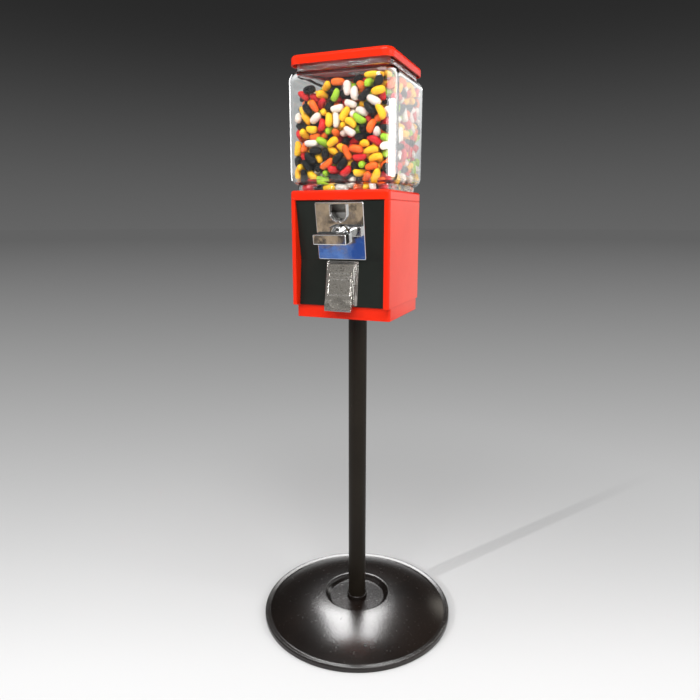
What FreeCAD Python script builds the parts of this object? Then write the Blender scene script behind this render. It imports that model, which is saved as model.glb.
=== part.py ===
import FreeCAD, Part
import math
import os

from FreeCAD import Placement, Rotation, Vector

# A candy vendor with a square glass globe on a pedestal stand, in millimetres.
# +Z is up, -Y is the front, and the origin is on the floor under the pole.

# Stand
BASE_RADIUS = 174.0
BASE_RIM = 10.0
BASE_RIM_WIDTH = 9.0
BASE_CREST = 35.0
BASE_FOOT_RING = 12.0
WELL_RADIUS = 56.0
WELL_FLOOR = 25.0
BASE_HUB_RADIUS = 27.0
BASE_HUB_BOTTOM = 14.0
POLE_RADIUS = 15.875
POLE_WALL = 2.0
POLE_BOTTOM = 4.0
POLE_TOP = 569.0
COLLAR_RADIUS = 18.5
COLLAR_HEIGHT = 8.0
FLANGE_RADIUS = 34.0
FLANGE_PLATE = 4.0
FLANGE_HUB_RADIUS = 20.5
FLANGE_HUB_DROP = 7.0
BOLT_CIRCLE = 26.5
BOLT_RADIUS = 3.0
BOLT_HEAD = 5.8

# Cabinet
BODY_WIDTH = 165.0
BODY_DEPTH = 167.0
BODY_CORNER = 5.0
SHEET = 1.6
PAN_BOTTOM = 571.0
PAN_TOP = 600.0
PAN_FLOOR = 3.0
PAN_WALL = 2.4
PAN_SETBACK = 14.2
PAN_INSET = 2.2
PAN_BOSS_RADIUS = 12.0
PAN_BOSS_HEIGHT = 14.0
WALL_BOTTOM = 592.0
TRAY_SEAM = 757.0
SEAM_BEVEL = 0.7
TRAY_TOP = 772.0
TRAY_DECK = 767.0
TRAY_DECK_THICK = 4.0
TRAY_HOLE = 69.0
TRAY_EDGE = 4.5
STILE = 8.5
CHEEK_DEPTH = 29.5

# Front panel: the upper slope leans so that the pinion and crown gear share one apex
PINION_TEETH = 8
CROWN_TEETH = 48
PANEL_SHEET = 1.5
PANEL_HALF = 73.7
PANEL_FLANGE = 10.0
PANEL_TOP = 756.0
PANEL_KINK = 664.0
PANEL_TOP_SETBACK = 2.5
PANEL_FOOT_SETBACK = 11.3
HUB_HEIGHT = 706.0
HINGE_HEIGHT = 656.0

# Coin mechanism, measured from the handle's axis on the upper slope
PLATE_HALF = 40.5
PLATE_FOOT = -40.5
PLATE_HEAD = 49.0
PLATE_THICK = 3.0
COIN_CENTRE = 33.0
COIN_SLOT = 12.8
COIN_TOP = 46.0
GUARD_WALL = 2.0
GUARD_HEIGHT = 4.5
STUD_U = 36.0
STUD_HEIGHTS = (-22.0, 27.0)
STUD_RADIUS = 3.5
STUD_END = 2.0
SHAFT_RADIUS = 4.0
RUNNING_GAP = 0.05
BUSH_RADIUS = 8.0
HANDLE_LENGTH = 54.0
HANDLE_HEIGHT = 15.5
HANDLE_BACK = 22.0
HANDLE_FRONT = 48.0
HANDLE_HUB_FOOT = 6.6
HANDLE_HUB_RADIUS = 14.5
CARRIER_RADIUS = 35.0
CARRIER_BACK = -6.0
RATCHET_BACK = -9.8
RATCHET_TIP = 20.0
RATCHET_ROOT = 16.5
RATCHET_TEETH = 12
RATCHET_STEEP_FACE = 98.0
MECH_DISC = 2.5
FRAME_FRONT = -11.5
FRAME_BACK = -13.0
PAWL_PIVOT = Vector(-22.2, 18.6, 0)
PAWL_TIP = Vector(-3.5, 20.1, 0)

# Bevel drive: cone distances from the shared apex, and tooth sizes at the outer end
GEAR_OUTER = 50.0
GEAR_INNER = 40.0
TOOTH_TIP = 1.5
TOOTH_ROOT = 1.9
TOOTH_HALF_TIP = 0.7
TOOTH_HALF_ROOT = 1.9

# Dispensing wheel and hopper
WHEEL_RADIUS = 54.5
WHEEL_TOP = 737.0
RING_THICK = 3.0
POCKETS = 6
POCKET_CIRCLE = 25.5
POCKET_RADIUS = 11.0
HOPPER_BORE = 55.5
HOPPER_WALL = 2.0
HOPPER_MOUTH = 66.5
HOPPER_FLANGE = 72.0
HOPPER_CONE_FOOT = 742.0
HOPPER_CHANNEL = 714.5
HOPPER_SHELF = 719.7
SHELF_RADIUS = 38.2
ROD_RADIUS = 5.0
ROD_BOTTOM = 576.0
ROD_TOP = 973.5

# Chute, measured from the hinge height on the lower slope
CHUTE_HALF = 27.0
CHUTE_MOUTH = 20.5
CHUTE_HEAD = 7.5
CHUTE_FOOT = -63.0
CHUTE_SILL = -50.0
CHUTE_PLATE = 1.6
CHEEK_INNER = 22.9
CHEEK_WALL = 1.5
PIN_OUT = 5.2
PIN_RADIUS = 1.5
KNUCKLE_RADIUS = 2.8
DOOR_HALF = 22.4
DOOR_LENGTH = 73.0
DOOR_THICK = 2.4
DOOR_LEAN = 8.0
CHUTE_STUD_U = 25.2
CHUTE_STUDS = (-30.0, -2.0)
SLIDE_FRONT = -67.0
SLIDE_FRONT_HEIGHT = 607.0
SLIDE_RISE = 0.78
SLIDE_WALL = 30.0
SLIDE_SHEET = 1.2

# Globe, lid and lock
GLOBE_WIDTH = 175.0
GLOBE_CORNER = 25.0
GLOBE_SHOULDER = 14.0
GLOBE_GLASS = 5.0
GLOBE_NECK = 155.0
GLOBE_NECK_CORNER = 18.0
GLOBE_BOTTOM = 769.5
GLOBE_BODY = (780.0, 947.0)
GLOBE_TOP = 963.0
GASKET = 3.0
LID_WIDTH = 165.0
LID_CORNER = 16.0
LID_BOTTOM = 955.0
LID_TOP = 969.0
LID_WALL = 2.2
LID_EDGE = 5.5
LOCK_RADIUS = 12.0
LOCK_BOTTOM = 958.0
LOCK_TOP = 981.0
LOCK_STEP = 974.0
PLUG_RADIUS = 7.0

# Candy: a bed with a layer of beans against the glass and on top
BEAN_RADIUS = 6.2
BEAN_HALF = 10.9
BEAN_BEVEL = 3.0
BEAN_COLUMN = 26.0
BEAN_ROW = 22.5
BEAN_TURN = 137.5
BEANS_FOOT = 804.0
BEANS_LEVEL = 915.0
BEANS_SLANT = 0.16
BED_INSET = 8.0
CANDY_GAP = 0.8

# Places worked out from the sizes above
FRONT = -BODY_DEPTH / 2
SIDE = BODY_WIDTH / 2
SLOPE = math.asin(PINION_TEETH / CROWN_TEETH)
PANEL_TOP_Y = FRONT + PANEL_TOP_SETBACK
PANEL_KINK_Y = PANEL_TOP_Y + (PANEL_TOP - PANEL_KINK) * math.tan(SLOPE)
PANEL_FOOT_Y = FRONT + PANEL_FOOT_SETBACK
LOWER_SLOPE = math.atan2(PANEL_KINK_Y - PANEL_FOOT_Y, PANEL_KINK - WALL_BOTTOM)
HUB_Y = PANEL_TOP_Y + (PANEL_TOP - HUB_HEIGHT) * math.tan(SLOPE)
HINGE_Y = PANEL_KINK_Y - (PANEL_KINK - HINGE_HEIGHT) * math.tan(LOWER_SLOPE)
X_AXIS = Vector(1, 0, 0)
Z_AXIS = Vector(0, 0, 1)
UPPER = Placement(Vector(0, HUB_Y, HUB_HEIGHT), Rotation(X_AXIS, 90 + math.degrees(SLOPE)))
LOWER = Placement(Vector(0, HINGE_Y, HINGE_HEIGHT), Rotation(X_AXIS, 90 - math.degrees(LOWER_SLOPE)))
APEX_DEPTH = -HUB_Y / math.cos(SLOPE)
APEX_HEIGHT = HUB_HEIGHT + APEX_DEPTH * math.sin(SLOPE)
WHEEL_BOTTOM = APEX_HEIGHT + TOOTH_ROOT
PINION_FRONT = GEAR_OUTER * math.cos(SLOPE) - APEX_DEPTH
PINION_BACK = GEAR_INNER * math.cos(SLOPE) - APEX_DEPTH


def in_plan(point):
    """A point of a plan view, in the XY plane."""
    return Vector(point[0], point[1], 0)


def from_side(point):
    """A point of a side view, in the YZ plane."""
    return Vector(0, point[0], point[1])


def in_section(point):
    """A point of a lathe profile, radius and height."""
    return Vector(point[0], 0, point[1])


def contour(view, start, moves):
    """A closed face; each move is an end point, or a middle and an end point of an arc."""
    edges = []
    here = start
    for move in list(moves) + [start]:
        is_arc = isinstance(move[0], tuple)
        end = move[-1] if is_arc else move
        if is_arc:
            edges.append(Part.Arc(view(here), view(move[0]), view(end)).toShape())
        elif here != end:
            edges.append(Part.LineSegment(view(here), view(end)).toShape())
        here = end
    return Part.Face(Part.Wire(edges))


def lathe(start, *moves):
    """A solid turned about the Z axis."""
    return contour(in_section, start, moves).revolve(Vector(), Z_AXIS, 360)


def prism_x(x0, x1, start, *moves):
    """A side view pushed along X."""
    face = contour(from_side, start, moves)
    face.translate(Vector(x0, 0, 0))
    return face.extrude(Vector(x1 - x0, 0, 0))


def prism_z(z0, z1, start, *moves):
    """A plan view pushed along Z."""
    face = contour(in_plan, start, moves)
    face.translate(Vector(0, 0, z0))
    return face.extrude(Vector(0, 0, z1 - z0))


def block(x0, x1, y0, y1, z0, z1):
    """A box between two corners."""
    return Part.makeBox(x1 - x0, y1 - y0, z1 - z0, Vector(x0, y0, z0))


def slab(width, depth, corner, z0, z1):
    """A centred box with round upright edges."""
    box = block(-width / 2, width / 2, -depth / 2, depth / 2, z0, z1)
    upright = [edge for edge in box.Edges if edge.Vertexes[0].X == edge.Vertexes[1].X
               and edge.Vertexes[0].Y == edge.Vertexes[1].Y]
    return box.makeFillet(corner, upright)


def edges_at(shape, height):
    """The edges that lie in the plane at one height."""
    return [edge for edge in shape.Edges
            if abs(edge.BoundBox.ZMin - height) < 1e-6 and abs(edge.BoundBox.ZMax - height) < 1e-6]


def drum(radius, z0, z1, x=0.0, y=0.0):
    """An upright cylinder."""
    return Part.makeCylinder(radius, z1 - z0, Vector(x, y, z0))


def tube(outer, inner, z0, z1, x=0.0, y=0.0):
    """An upright pipe."""
    return drum(outer, z0, z1, x, y).cut(drum(inner, z0, z1, x, y))


def bar(radius, start, end):
    """A round bar between two points."""
    return Part.makeCylinder(radius, (end - start).Length, start, end - start)


def hexagon(radius, z0, z1, x=0.0, y=0.0):
    """A six-sided upright prism, measured to its corners."""
    corners = [(x + radius * math.cos(math.radians(60 * k)), y + radius * math.sin(math.radians(60 * k)))
               for k in range(6)]
    return prism_z(z0, z1, *corners)


def nut(radius, bore, z0, z1, x=0.0, y=0.0):
    """A hexagon nut."""
    return hexagon(radius, z0, z1, x, y).cut(drum(bore, z0, z1, x, y))


def placed(shape, placement):
    """The shape carried from a local frame into the machine's frame."""
    moved = shape.copy()
    moved.Placement = placement.multiply(shape.Placement)
    return moved


def joined(first, *others):
    """Several solids as one."""
    return first.multiFuse(list(others)).removeSplitter()


def less(shape, *tools):
    """A solid with others taken away."""
    return shape.cut(list(tools))


def group(shapes):
    """Separate solids that share a node."""
    return Part.makeCompound(list(shapes))


def both_sides(shape):
    """A shape and its mirror image across the middle plane."""
    return [shape, shape.mirror(Vector(), X_AXIS)]


def flange_bolt_places():
    """Centres of the four flange bolts."""
    reach = BOLT_CIRCLE * math.sqrt(0.5)
    return [(x * reach, y * reach) for x in (-1, 1) for y in (-1, 1)]


def mech_stud_places():
    """Centres of the coin plate's four studs."""
    return [(u, v) for u in (-STUD_U, STUD_U) for v in STUD_HEIGHTS]


def chute_stud_places():
    """Centres of the chute frame's four studs."""
    return [(u, v) for u in (-CHUTE_STUD_U, CHUTE_STUD_U) for v in CHUTE_STUDS]


def stand_base():
    """Dished round casting with a flared rim, a sunken well and a bored hub."""
    rim_in = BASE_RADIUS - BASE_RIM_WIDTH
    ring_in = BASE_RADIUS - BASE_FOOT_RING
    under = 6.5
    return lathe(
        (POLE_RADIUS, BASE_HUB_BOTTOM),
        (POLE_RADIUS, WELL_FLOOR),
        (WELL_RADIUS - 5.0, WELL_FLOOR),
        (WELL_RADIUS, BASE_CREST - 4.5),
        ((WELL_RADIUS + 1.6, BASE_CREST - 1.1), (WELL_RADIUS + 5.5, BASE_CREST)),
        ((118.0, 26.0), (rim_in, BASE_RIM - 2.0)),
        (BASE_RADIUS - 2.8, BASE_RIM),
        ((BASE_RADIUS - 0.8, BASE_RIM - 0.9), (BASE_RADIUS, BASE_RIM - 3.0)),
        (BASE_RADIUS, 1.5),
        (BASE_RADIUS - 1.5, 0.0),
        (ring_in, 0.0),
        (ring_in - 2.0, 2.0),
        ((116.0, 26.0 - under), (WELL_RADIUS + 5.0, BASE_CREST - under)),
        (WELL_RADIUS - 3.0, WELL_FLOOR - under),
        (BASE_HUB_RADIUS, WELL_FLOOR - under),
        (BASE_HUB_RADIUS, BASE_HUB_BOTTOM),
    )


def pole():
    """Steel tube from the base to the head."""
    return tube(POLE_RADIUS, POLE_RADIUS - POLE_WALL, POLE_BOTTOM, POLE_TOP)


def pole_foot_collar():
    """Ring that stands on the well's floor round the pole's foot."""
    top = WELL_FLOOR + COLLAR_HEIGHT
    return lathe((POLE_RADIUS, WELL_FLOOR), (COLLAR_RADIUS, WELL_FLOOR), (COLLAR_RADIUS, top - 2.0),
                 ((COLLAR_RADIUS - 0.6, top - 0.6), (COLLAR_RADIUS - 2.0, top)), (POLE_RADIUS, top))


def base_lock_nut():
    """Thin nut under the base's hub."""
    return nut(25.0, POLE_RADIUS, POLE_BOTTOM + 1.0, BASE_HUB_BOTTOM)


def pole_flange():
    """Round plate with a short hub that caps the pole and carries the head."""
    plate = drum(FLANGE_RADIUS, PAN_BOTTOM - FLANGE_PLATE, PAN_BOTTOM)
    hub = drum(FLANGE_HUB_RADIUS, PAN_BOTTOM - FLANGE_HUB_DROP, PAN_BOTTOM)
    holes = [drum(BOLT_RADIUS, PAN_BOTTOM - FLANGE_PLATE, PAN_BOTTOM, x, y) for x, y in flange_bolt_places()]
    return less(joined(plate, hub), drum(POLE_RADIUS, PAN_BOTTOM - FLANGE_HUB_DROP, POLE_TOP), *holes)


def flange_bolts():
    """Bolts whose heads bear on the flange's underside."""
    seat = PAN_BOTTOM - FLANGE_PLATE
    end = PAN_BOTTOM + PAN_FLOOR + 4.6
    return group(hexagon(BOLT_HEAD, seat - 3.0, seat, x, y).fuse(drum(BOLT_RADIUS, seat, end, x, y))
                 for x, y in flange_bolt_places())


def flange_nuts():
    """Nuts on the pan's floor."""
    floor = PAN_BOTTOM + PAN_FLOOR
    return group(nut(BOLT_HEAD, BOLT_RADIUS, floor, floor + 4.0, x, y) for x, y in flange_bolt_places())


def base_pan():
    """Red pan that closes the cabinet's bottom, with a low lip at the front."""
    width = BODY_WIDTH - 2 * PAN_INSET
    front = FRONT + PAN_SETBACK
    back = -FRONT - PAN_INSET
    middle = Vector(0, (front + back) / 2, 0)
    shell = slab(width, back - front, 4.0, PAN_BOTTOM, PAN_TOP)
    hollow = slab(width - 2 * PAN_WALL, back - front - 2 * PAN_WALL, 2.0, PAN_BOTTOM + PAN_FLOOR, PAN_TOP)
    shell.translate(middle)
    hollow.translate(middle)
    boss = drum(PAN_BOSS_RADIUS, PAN_BOTTOM, PAN_BOTTOM + PAN_FLOOR + PAN_BOSS_HEIGHT)
    low_lip = block(-SIDE, SIDE, front - 1, front + CHEEK_DEPTH, WALL_BOTTOM - 0.5, PAN_TOP)
    holes = [drum(BOLT_RADIUS, PAN_BOTTOM, PAN_BOTTOM + PAN_FLOOR, x, y) for x, y in flange_bolt_places()]
    return less(joined(less(shell, hollow), boss), drum(ROD_RADIUS, ROD_BOTTOM, PAN_TOP), low_lip, *holes)


def cabinet_shell():
    """Wrapped sheet with front stiles and cheeks that frame the panel."""
    outer = slab(BODY_WIDTH, BODY_DEPTH, BODY_CORNER, WALL_BOTTOM, TRAY_SEAM)
    outer = outer.makeChamfer(SEAM_BEVEL, edges_at(outer, TRAY_SEAM))
    inner = slab(BODY_WIDTH - 2 * SHEET, BODY_DEPTH - 2 * SHEET, BODY_CORNER - SHEET, WALL_BOTTOM, TRAY_SEAM)
    window = SIDE - STILE
    opening = block(-window, window, FRONT - 1, FRONT + 10, WALL_BOTTOM, TRAY_SEAM)
    cheek = block(window, window + SHEET, FRONT, FRONT + CHEEK_DEPTH, WALL_BOTTOM, TRAY_SEAM)
    rivets = [bar(1.6, Vector(-SIDE, y, z), Vector(SIDE, y, z)) for y, z in panel_rivet_places()]
    cheeks = [less(side, *rivets) for side in both_sides(cheek)]
    return joined(less(outer, inner, opening), *cheeks)


def panel_rivet_places():
    """Side-view places of the rivets behind the panel, upper then lower."""
    behind = 8.0
    upper = PANEL_TOP - 16.0
    lower = WALL_BOTTOM + 18.0
    return [(PANEL_TOP_Y + (PANEL_TOP - upper) * math.tan(SLOPE) + behind, upper),
            (PANEL_FOOT_Y + (lower - WALL_BOTTOM) * math.tan(LOWER_SLOPE) + behind, lower)]


def panel_profile(x0, x1, depth):
    """The panel's kinked profile, with a given depth from front to back."""
    return prism_x(x0, x1, (PANEL_TOP_Y, PANEL_TOP), (PANEL_KINK_Y, PANEL_KINK), (PANEL_FOOT_Y, WALL_BOTTOM),
                   (PANEL_FOOT_Y + depth, WALL_BOTTOM), (PANEL_KINK_Y + depth, PANEL_KINK),
                   (PANEL_TOP_Y + depth, PANEL_TOP))


def front_panel():
    """Black kinked panel with folded sides, and windows for the coin mechanism and the chute."""
    sheet = panel_profile(-PANEL_HALF, PANEL_HALF, PANEL_SHEET)
    side = panel_profile(PANEL_HALF - PANEL_SHEET, PANEL_HALF, PANEL_SHEET + PANEL_FLANGE)
    top = block(-PANEL_HALF, PANEL_HALF, PANEL_TOP_Y, PANEL_TOP_Y + PANEL_FLANGE,
                PANEL_TOP - PANEL_SHEET, PANEL_TOP)
    through = 8.0
    mech = [drum(CARRIER_RADIUS + 2.2, -through, 1.0),
            block(-COIN_SLOT - 1.0, COIN_SLOT + 1.0, COIN_CENTRE - 6.0, COIN_TOP + 1.2, -through, 1.0)]
    mech += [drum(STUD_RADIUS + 0.3, -through, 1.0, u, v) for u, v in mech_stud_places()]
    chute = [block(-CHUTE_MOUTH - 1.5, CHUTE_MOUTH + 1.5, CHUTE_FOOT + 4.0, -5.5, -through, 1.0)]
    chute += [drum(PIN_RADIUS + 0.2, -through, 1.0, u, v) for u, v in chute_stud_places()]
    rivets = [bar(1.6, Vector(-SIDE, y, z), Vector(SIDE, y, z)) for y, z in panel_rivet_places()]
    tools = [placed(tool, UPPER) for tool in mech] + [placed(tool, LOWER) for tool in chute] + rivets
    return less(joined(sheet, top, *both_sides(side)), *tools)


def panel_rivets():
    """Rivets that hold the panel's folded sides to the cheeks."""
    inside = PANEL_HALF - PANEL_SHEET - 1.0
    outside = SIDE - STILE + SHEET + 1.0
    return group(side for y, z in panel_rivet_places()
                 for side in both_sides(bar(1.6, Vector(inside, y, z), Vector(outside, y, z))))


def top_tray():
    """Red band with a sunken deck that the globe stands in."""
    recess = GLOBE_NECK + 3.5
    lip_depth = 7.0
    band = slab(BODY_WIDTH, BODY_DEPTH, BODY_CORNER, TRAY_SEAM, TRAY_TOP)
    band = band.makeFillet(TRAY_EDGE, edges_at(band, TRAY_TOP))
    band = band.makeChamfer(SEAM_BEVEL, edges_at(band, TRAY_SEAM))
    hollow = slab(BODY_WIDTH - 2 * SHEET, BODY_DEPTH - 2 * SHEET, BODY_CORNER - SHEET,
                  TRAY_SEAM, TRAY_DECK - TRAY_DECK_THICK)
    seat = slab(recess, recess, GLOBE_NECK_CORNER + 1.7, TRAY_DECK, TRAY_TOP)
    lip_foot = TRAY_SEAM - lip_depth
    lip = slab(BODY_WIDTH - 2 * SHEET - 0.6, BODY_DEPTH - 2 * SHEET - 0.6, 3.0, lip_foot, TRAY_DECK - 1)
    lip_hollow = slab(BODY_WIDTH - 4 * SHEET - 0.6, BODY_DEPTH - 4 * SHEET - 0.6, 2.0, lip_foot, TRAY_DECK)
    front_gap = block(-SIDE, SIDE, FRONT, FRONT + CHEEK_DEPTH + 3.0, lip_foot, TRAY_DECK)
    return less(joined(less(band, hollow, seat), less(lip, lip_hollow, front_gap)),
                drum(TRAY_HOLE, TRAY_SEAM, TRAY_TOP), seat)


def coin_box():
    """Open tray for coins on the pan's floor, with a collar round the pan's boss."""
    floor = PAN_BOTTOM + PAN_FLOOR + 5.0
    top = floor + 27.0
    wall = 1.2
    half = 68.0
    front, back = -48.0, 74.0
    collar = PAN_BOSS_RADIUS + 1.5
    shell = block(-half, half, front, back, floor, top)
    hollow = block(-half + wall, half - wall, front + wall, back - wall, floor + wall, top)
    sleeve = drum(collar + wall, floor, top)
    return less(joined(less(shell, hollow), sleeve), drum(collar, floor, top))


def coin_opening(half, w0, w1):
    """U-shaped prism round the coin's place, open at the top."""
    return prism_z(w0, w1, (-half, COIN_TOP), (-half, COIN_CENTRE),
                   ((0.0, COIN_CENTRE - half), (half, COIN_CENTRE)), (half, COIN_TOP))


def coin_plate():
    """Bright plate with a coin opening and studs on its back."""
    plate = block(-PLATE_HALF, PLATE_HALF, PLATE_FOOT, PLATE_HEAD, 0.0, PLATE_THICK)
    corners = [edge for edge in plate.Edges if edge.BoundBox.ZLength > 1.0]
    plate = plate.makeFillet(2.5, corners)
    plate = plate.makeFillet(1.2, edges_at(plate, PLATE_THICK))
    studs = [drum(STUD_RADIUS, FRAME_FRONT, 0.5, u, v) for u, v in mech_stud_places()]
    ends = [drum(STUD_END, FRAME_BACK - 3.5, FRAME_FRONT, u, v) for u, v in mech_stud_places()]
    body = joined(plate, *studs, *ends)
    opening = coin_opening(COIN_SLOT, -1, PLATE_THICK)
    return placed(less(body, drum(BUSH_RADIUS, -1, PLATE_THICK), opening), UPPER)


def coin_guard():
    """Raised U-shaped rim round the coin opening, with a round stud at its foot."""
    top = PLATE_THICK + GUARD_HEIGHT
    rim = coin_opening(COIN_SLOT + GUARD_WALL, PLATE_THICK, top)
    rim = rim.makeFillet(1.0, edges_at(rim, top))
    stud = drum(2.2, PLATE_THICK, top + 0.8, 0, COIN_CENTRE - COIN_SLOT - 0.5 * GUARD_WALL)
    return placed(joined(less(rim, coin_opening(COIN_SLOT, PLATE_THICK - 1, top)), stud), UPPER)


def handle_pin_hole(radius):
    """Cross hole through the handle's hub and the shaft."""
    height = (HANDLE_HUB_FOOT + HANDLE_BACK) / 2
    return bar(radius, Vector(0, -HANDLE_HUB_RADIUS, height), Vector(0, HANDLE_HUB_RADIUS, height))


def handle():
    """Square-cut bar on a tapered hub."""
    grip = block(-HANDLE_LENGTH / 2, HANDLE_LENGTH / 2, -HANDLE_HEIGHT / 2, HANDLE_HEIGHT / 2,
                 HANDLE_BACK, HANDLE_FRONT)
    grip = grip.makeFillet(1.4, grip.Edges)
    hub_height = HANDLE_BACK + 2.0 - HANDLE_HUB_FOOT
    hub = Part.makeCone(HANDLE_HUB_RADIUS, 9.5, hub_height, Vector(0, 0, HANDLE_HUB_FOOT))
    socket = drum(SHAFT_RADIUS, HANDLE_HUB_FOOT, HANDLE_FRONT - 8.0)
    return placed(less(joined(grip, hub), socket, handle_pin_hole(1.5)), UPPER)


def handle_pin():
    """Spring pin across the handle's hub."""
    height = (HANDLE_HUB_FOOT + HANDLE_BACK) / 2
    reach = HANDLE_HUB_RADIUS - 3.0
    return placed(bar(1.5, Vector(0, -reach, height), Vector(0, reach, height)), UPPER)


def pinion_pin_hole(reach):
    """Cross pin of the pinion's collar."""
    height = PINION_FRONT + 2.4
    return bar(1.0, Vector(0, -reach, height), Vector(0, reach, height))


def handle_shaft():
    """Shaft from the handle to the pinion."""
    shaft = drum(SHAFT_RADIUS, PINION_BACK, HANDLE_FRONT - 8.0)
    return placed(less(shaft, handle_pin_hole(1.5), pinion_pin_hole(SHAFT_RADIUS + 1)), UPPER)


def front_bush():
    """Flanged bush in the coin plate."""
    sleeve = drum(BUSH_RADIUS, -3.0, HANDLE_HUB_FOOT - 0.6)
    flange = drum(BUSH_RADIUS + 3.0, PLATE_THICK, PLATE_THICK + 1.8)
    bore = drum(SHAFT_RADIUS + RUNNING_GAP, -4.0, HANDLE_HUB_FOOT)
    return placed(less(joined(sleeve, flange), bore), UPPER)


def rear_bush():
    """Bush in the mechanism's frame."""
    sleeve = tube(BUSH_RADIUS - 1.5, SHAFT_RADIUS + RUNNING_GAP, FRAME_BACK - 2.0, RATCHET_BACK - 0.4)
    return placed(sleeve, UPPER)


def coin_carrier():
    """Disc that carries the coin round in its notch."""
    disc = tube(CARRIER_RADIUS, SHAFT_RADIUS, CARRIER_BACK, CARRIER_BACK + MECH_DISC)
    notch = drum(COIN_SLOT - 0.4, CARRIER_BACK, CARRIER_BACK + MECH_DISC, 0, COIN_CENTRE)
    return placed(less(disc, notch), UPPER)


def ratchet_wheel():
    """Toothed disc that stops the handle from turning back."""
    pitch = 360.0 / RATCHET_TEETH
    corners = []
    for tooth in range(RATCHET_TEETH):
        angle = math.radians(RATCHET_STEEP_FACE + tooth * pitch)
        for radius in (RATCHET_TIP, RATCHET_ROOT):
            corners.append((radius * math.cos(angle), radius * math.sin(angle)))
    disc = prism_z(RATCHET_BACK, RATCHET_BACK + MECH_DISC, *corners)
    return placed(less(disc, drum(SHAFT_RADIUS, RATCHET_BACK, RATCHET_BACK + MECH_DISC)), UPPER)


def ratchet_pawl():
    """Hooked arm that rides on the ratchet's teeth."""
    along = (PAWL_TIP - PAWL_PIVOT).normalize()
    across = Vector(-along.y, along.x, 0) * 3.0
    corners = [PAWL_PIVOT - across, PAWL_TIP, PAWL_TIP + across, PAWL_PIVOT + across]
    z0, z1 = RATCHET_BACK, RATCHET_BACK + MECH_DISC
    arm = prism_z(z0, z1, *[(corner.x, corner.y) for corner in corners])
    eye = drum(4.0, z0, z1, PAWL_PIVOT.x, PAWL_PIVOT.y)
    bore = drum(PIN_RADIUS + RUNNING_GAP, z0, z1, PAWL_PIVOT.x, PAWL_PIVOT.y)
    return placed(less(joined(arm, eye), bore), UPPER)


def pawl_pin():
    """Pivot pin of the pawl, fixed in the frame."""
    return placed(drum(PIN_RADIUS, FRAME_BACK, CARRIER_BACK - 0.6, PAWL_PIVOT.x, PAWL_PIVOT.y), UPPER)


def pawl_spring():
    """Flat spring that stands on the frame and bends over the pawl's back."""
    blade = 0.6
    left, right = -31.8, -10.0
    over = PAWL_PIVOT.y + 7.8
    foot = block(left, left + 5.0, over - 2.0, over + 4.0, FRAME_FRONT, FRAME_FRONT + blade)
    post = block(left, left + blade, over - 2.0, over + 4.0, FRAME_FRONT, RATCHET_BACK + MECH_DISC)
    leaf = block(left, right, over, over + blade, RATCHET_BACK, RATCHET_BACK + MECH_DISC)
    return placed(joined(foot, post, leaf), UPPER)


def mech_frame():
    """Back plate of the coin mechanism."""
    half = STUD_U + 4.0
    foot, head = STUD_HEIGHTS[0] - 5.0, STUD_HEIGHTS[1] + 4.0
    plate = block(-half, half, foot, head, FRAME_BACK, FRAME_FRONT)
    plate = plate.makeFillet(3.0, [edge for edge in plate.Edges if edge.BoundBox.ZLength > 1.0])
    holes = [drum(STUD_END, FRAME_BACK, FRAME_FRONT, u, v) for u, v in mech_stud_places()]
    holes.append(drum(BUSH_RADIUS - 1.5, FRAME_BACK, FRAME_FRONT))
    holes.append(drum(PIN_RADIUS, FRAME_BACK, FRAME_FRONT, PAWL_PIVOT.x, PAWL_PIVOT.y))
    return placed(less(plate, *holes), UPPER)


def mech_nuts():
    """Nuts on the coin plate's studs."""
    return group(placed(nut(4.0, STUD_END, FRAME_BACK - 3.0, FRAME_BACK, u, v), UPPER)
                 for u, v in mech_stud_places())


def drive_pinion():
    """Small bevel gear at the back end of the shaft, with a collar."""
    pitch_radius = GEAR_OUTER * math.sin(SLOPE)
    root = pitch_radius - TOOTH_ROOT
    tip = pitch_radius + TOOTH_TIP
    step = 360.0 / PINION_TEETH
    profile = []
    for tooth in range(PINION_TEETH):
        middle = math.radians(90 + (tooth + 0.5) * step)
        for half, radius in ((-TOOTH_HALF_ROOT, root), (-TOOTH_HALF_TIP, tip),
                             (TOOTH_HALF_TIP, tip), (TOOTH_HALF_ROOT, root)):
            angle = middle + math.asin(half / radius)
            profile.append(Vector(radius * math.cos(angle), radius * math.sin(angle), 0))
    ends = []
    for distance, height in ((GEAR_OUTER, PINION_FRONT), (GEAR_INNER, PINION_BACK)):
        scale = distance / GEAR_OUTER
        points = [point * scale + Vector(0, 0, height) for point in profile]
        ends.append(Part.makePolygon(points + points[:1]))
    teeth = Part.makeLoft(ends, True, True)
    collar = drum(6.4, PINION_FRONT, PINION_FRONT + 4.8)
    return placed(less(joined(teeth, collar), drum(SHAFT_RADIUS, PINION_BACK, PINION_FRONT + 4.8),
                       pinion_pin_hole(8.0)), UPPER)


def pinion_pin():
    """Cross pin that keys the pinion to the shaft."""
    return placed(pinion_pin_hole(6.4), UPPER)


def crown_tooth(angle):
    """One tooth of the crown gear, tapering towards the apex."""
    outward = Vector(math.cos(angle), math.sin(angle), 0)
    sideways = Vector(-outward.y, outward.x, 0)
    ends = []
    for distance in (GEAR_OUTER, GEAR_INNER):
        scale = distance / GEAR_OUTER
        points = [outward * distance + sideways * (half * scale) + Vector(0, 0, APEX_HEIGHT + rise * scale)
                  for half, rise in ((-TOOTH_HALF_ROOT, TOOTH_ROOT), (-TOOTH_HALF_TIP, -TOOTH_TIP),
                                     (TOOTH_HALF_TIP, -TOOTH_TIP), (TOOTH_HALF_ROOT, TOOTH_ROOT),
                                     (TOOTH_HALF_ROOT, 2 * TOOTH_ROOT), (-TOOTH_HALF_ROOT, 2 * TOOTH_ROOT))]
        ends.append(Part.makePolygon(points + points[:1]))
    return Part.makeLoft(ends, True, True)


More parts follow.
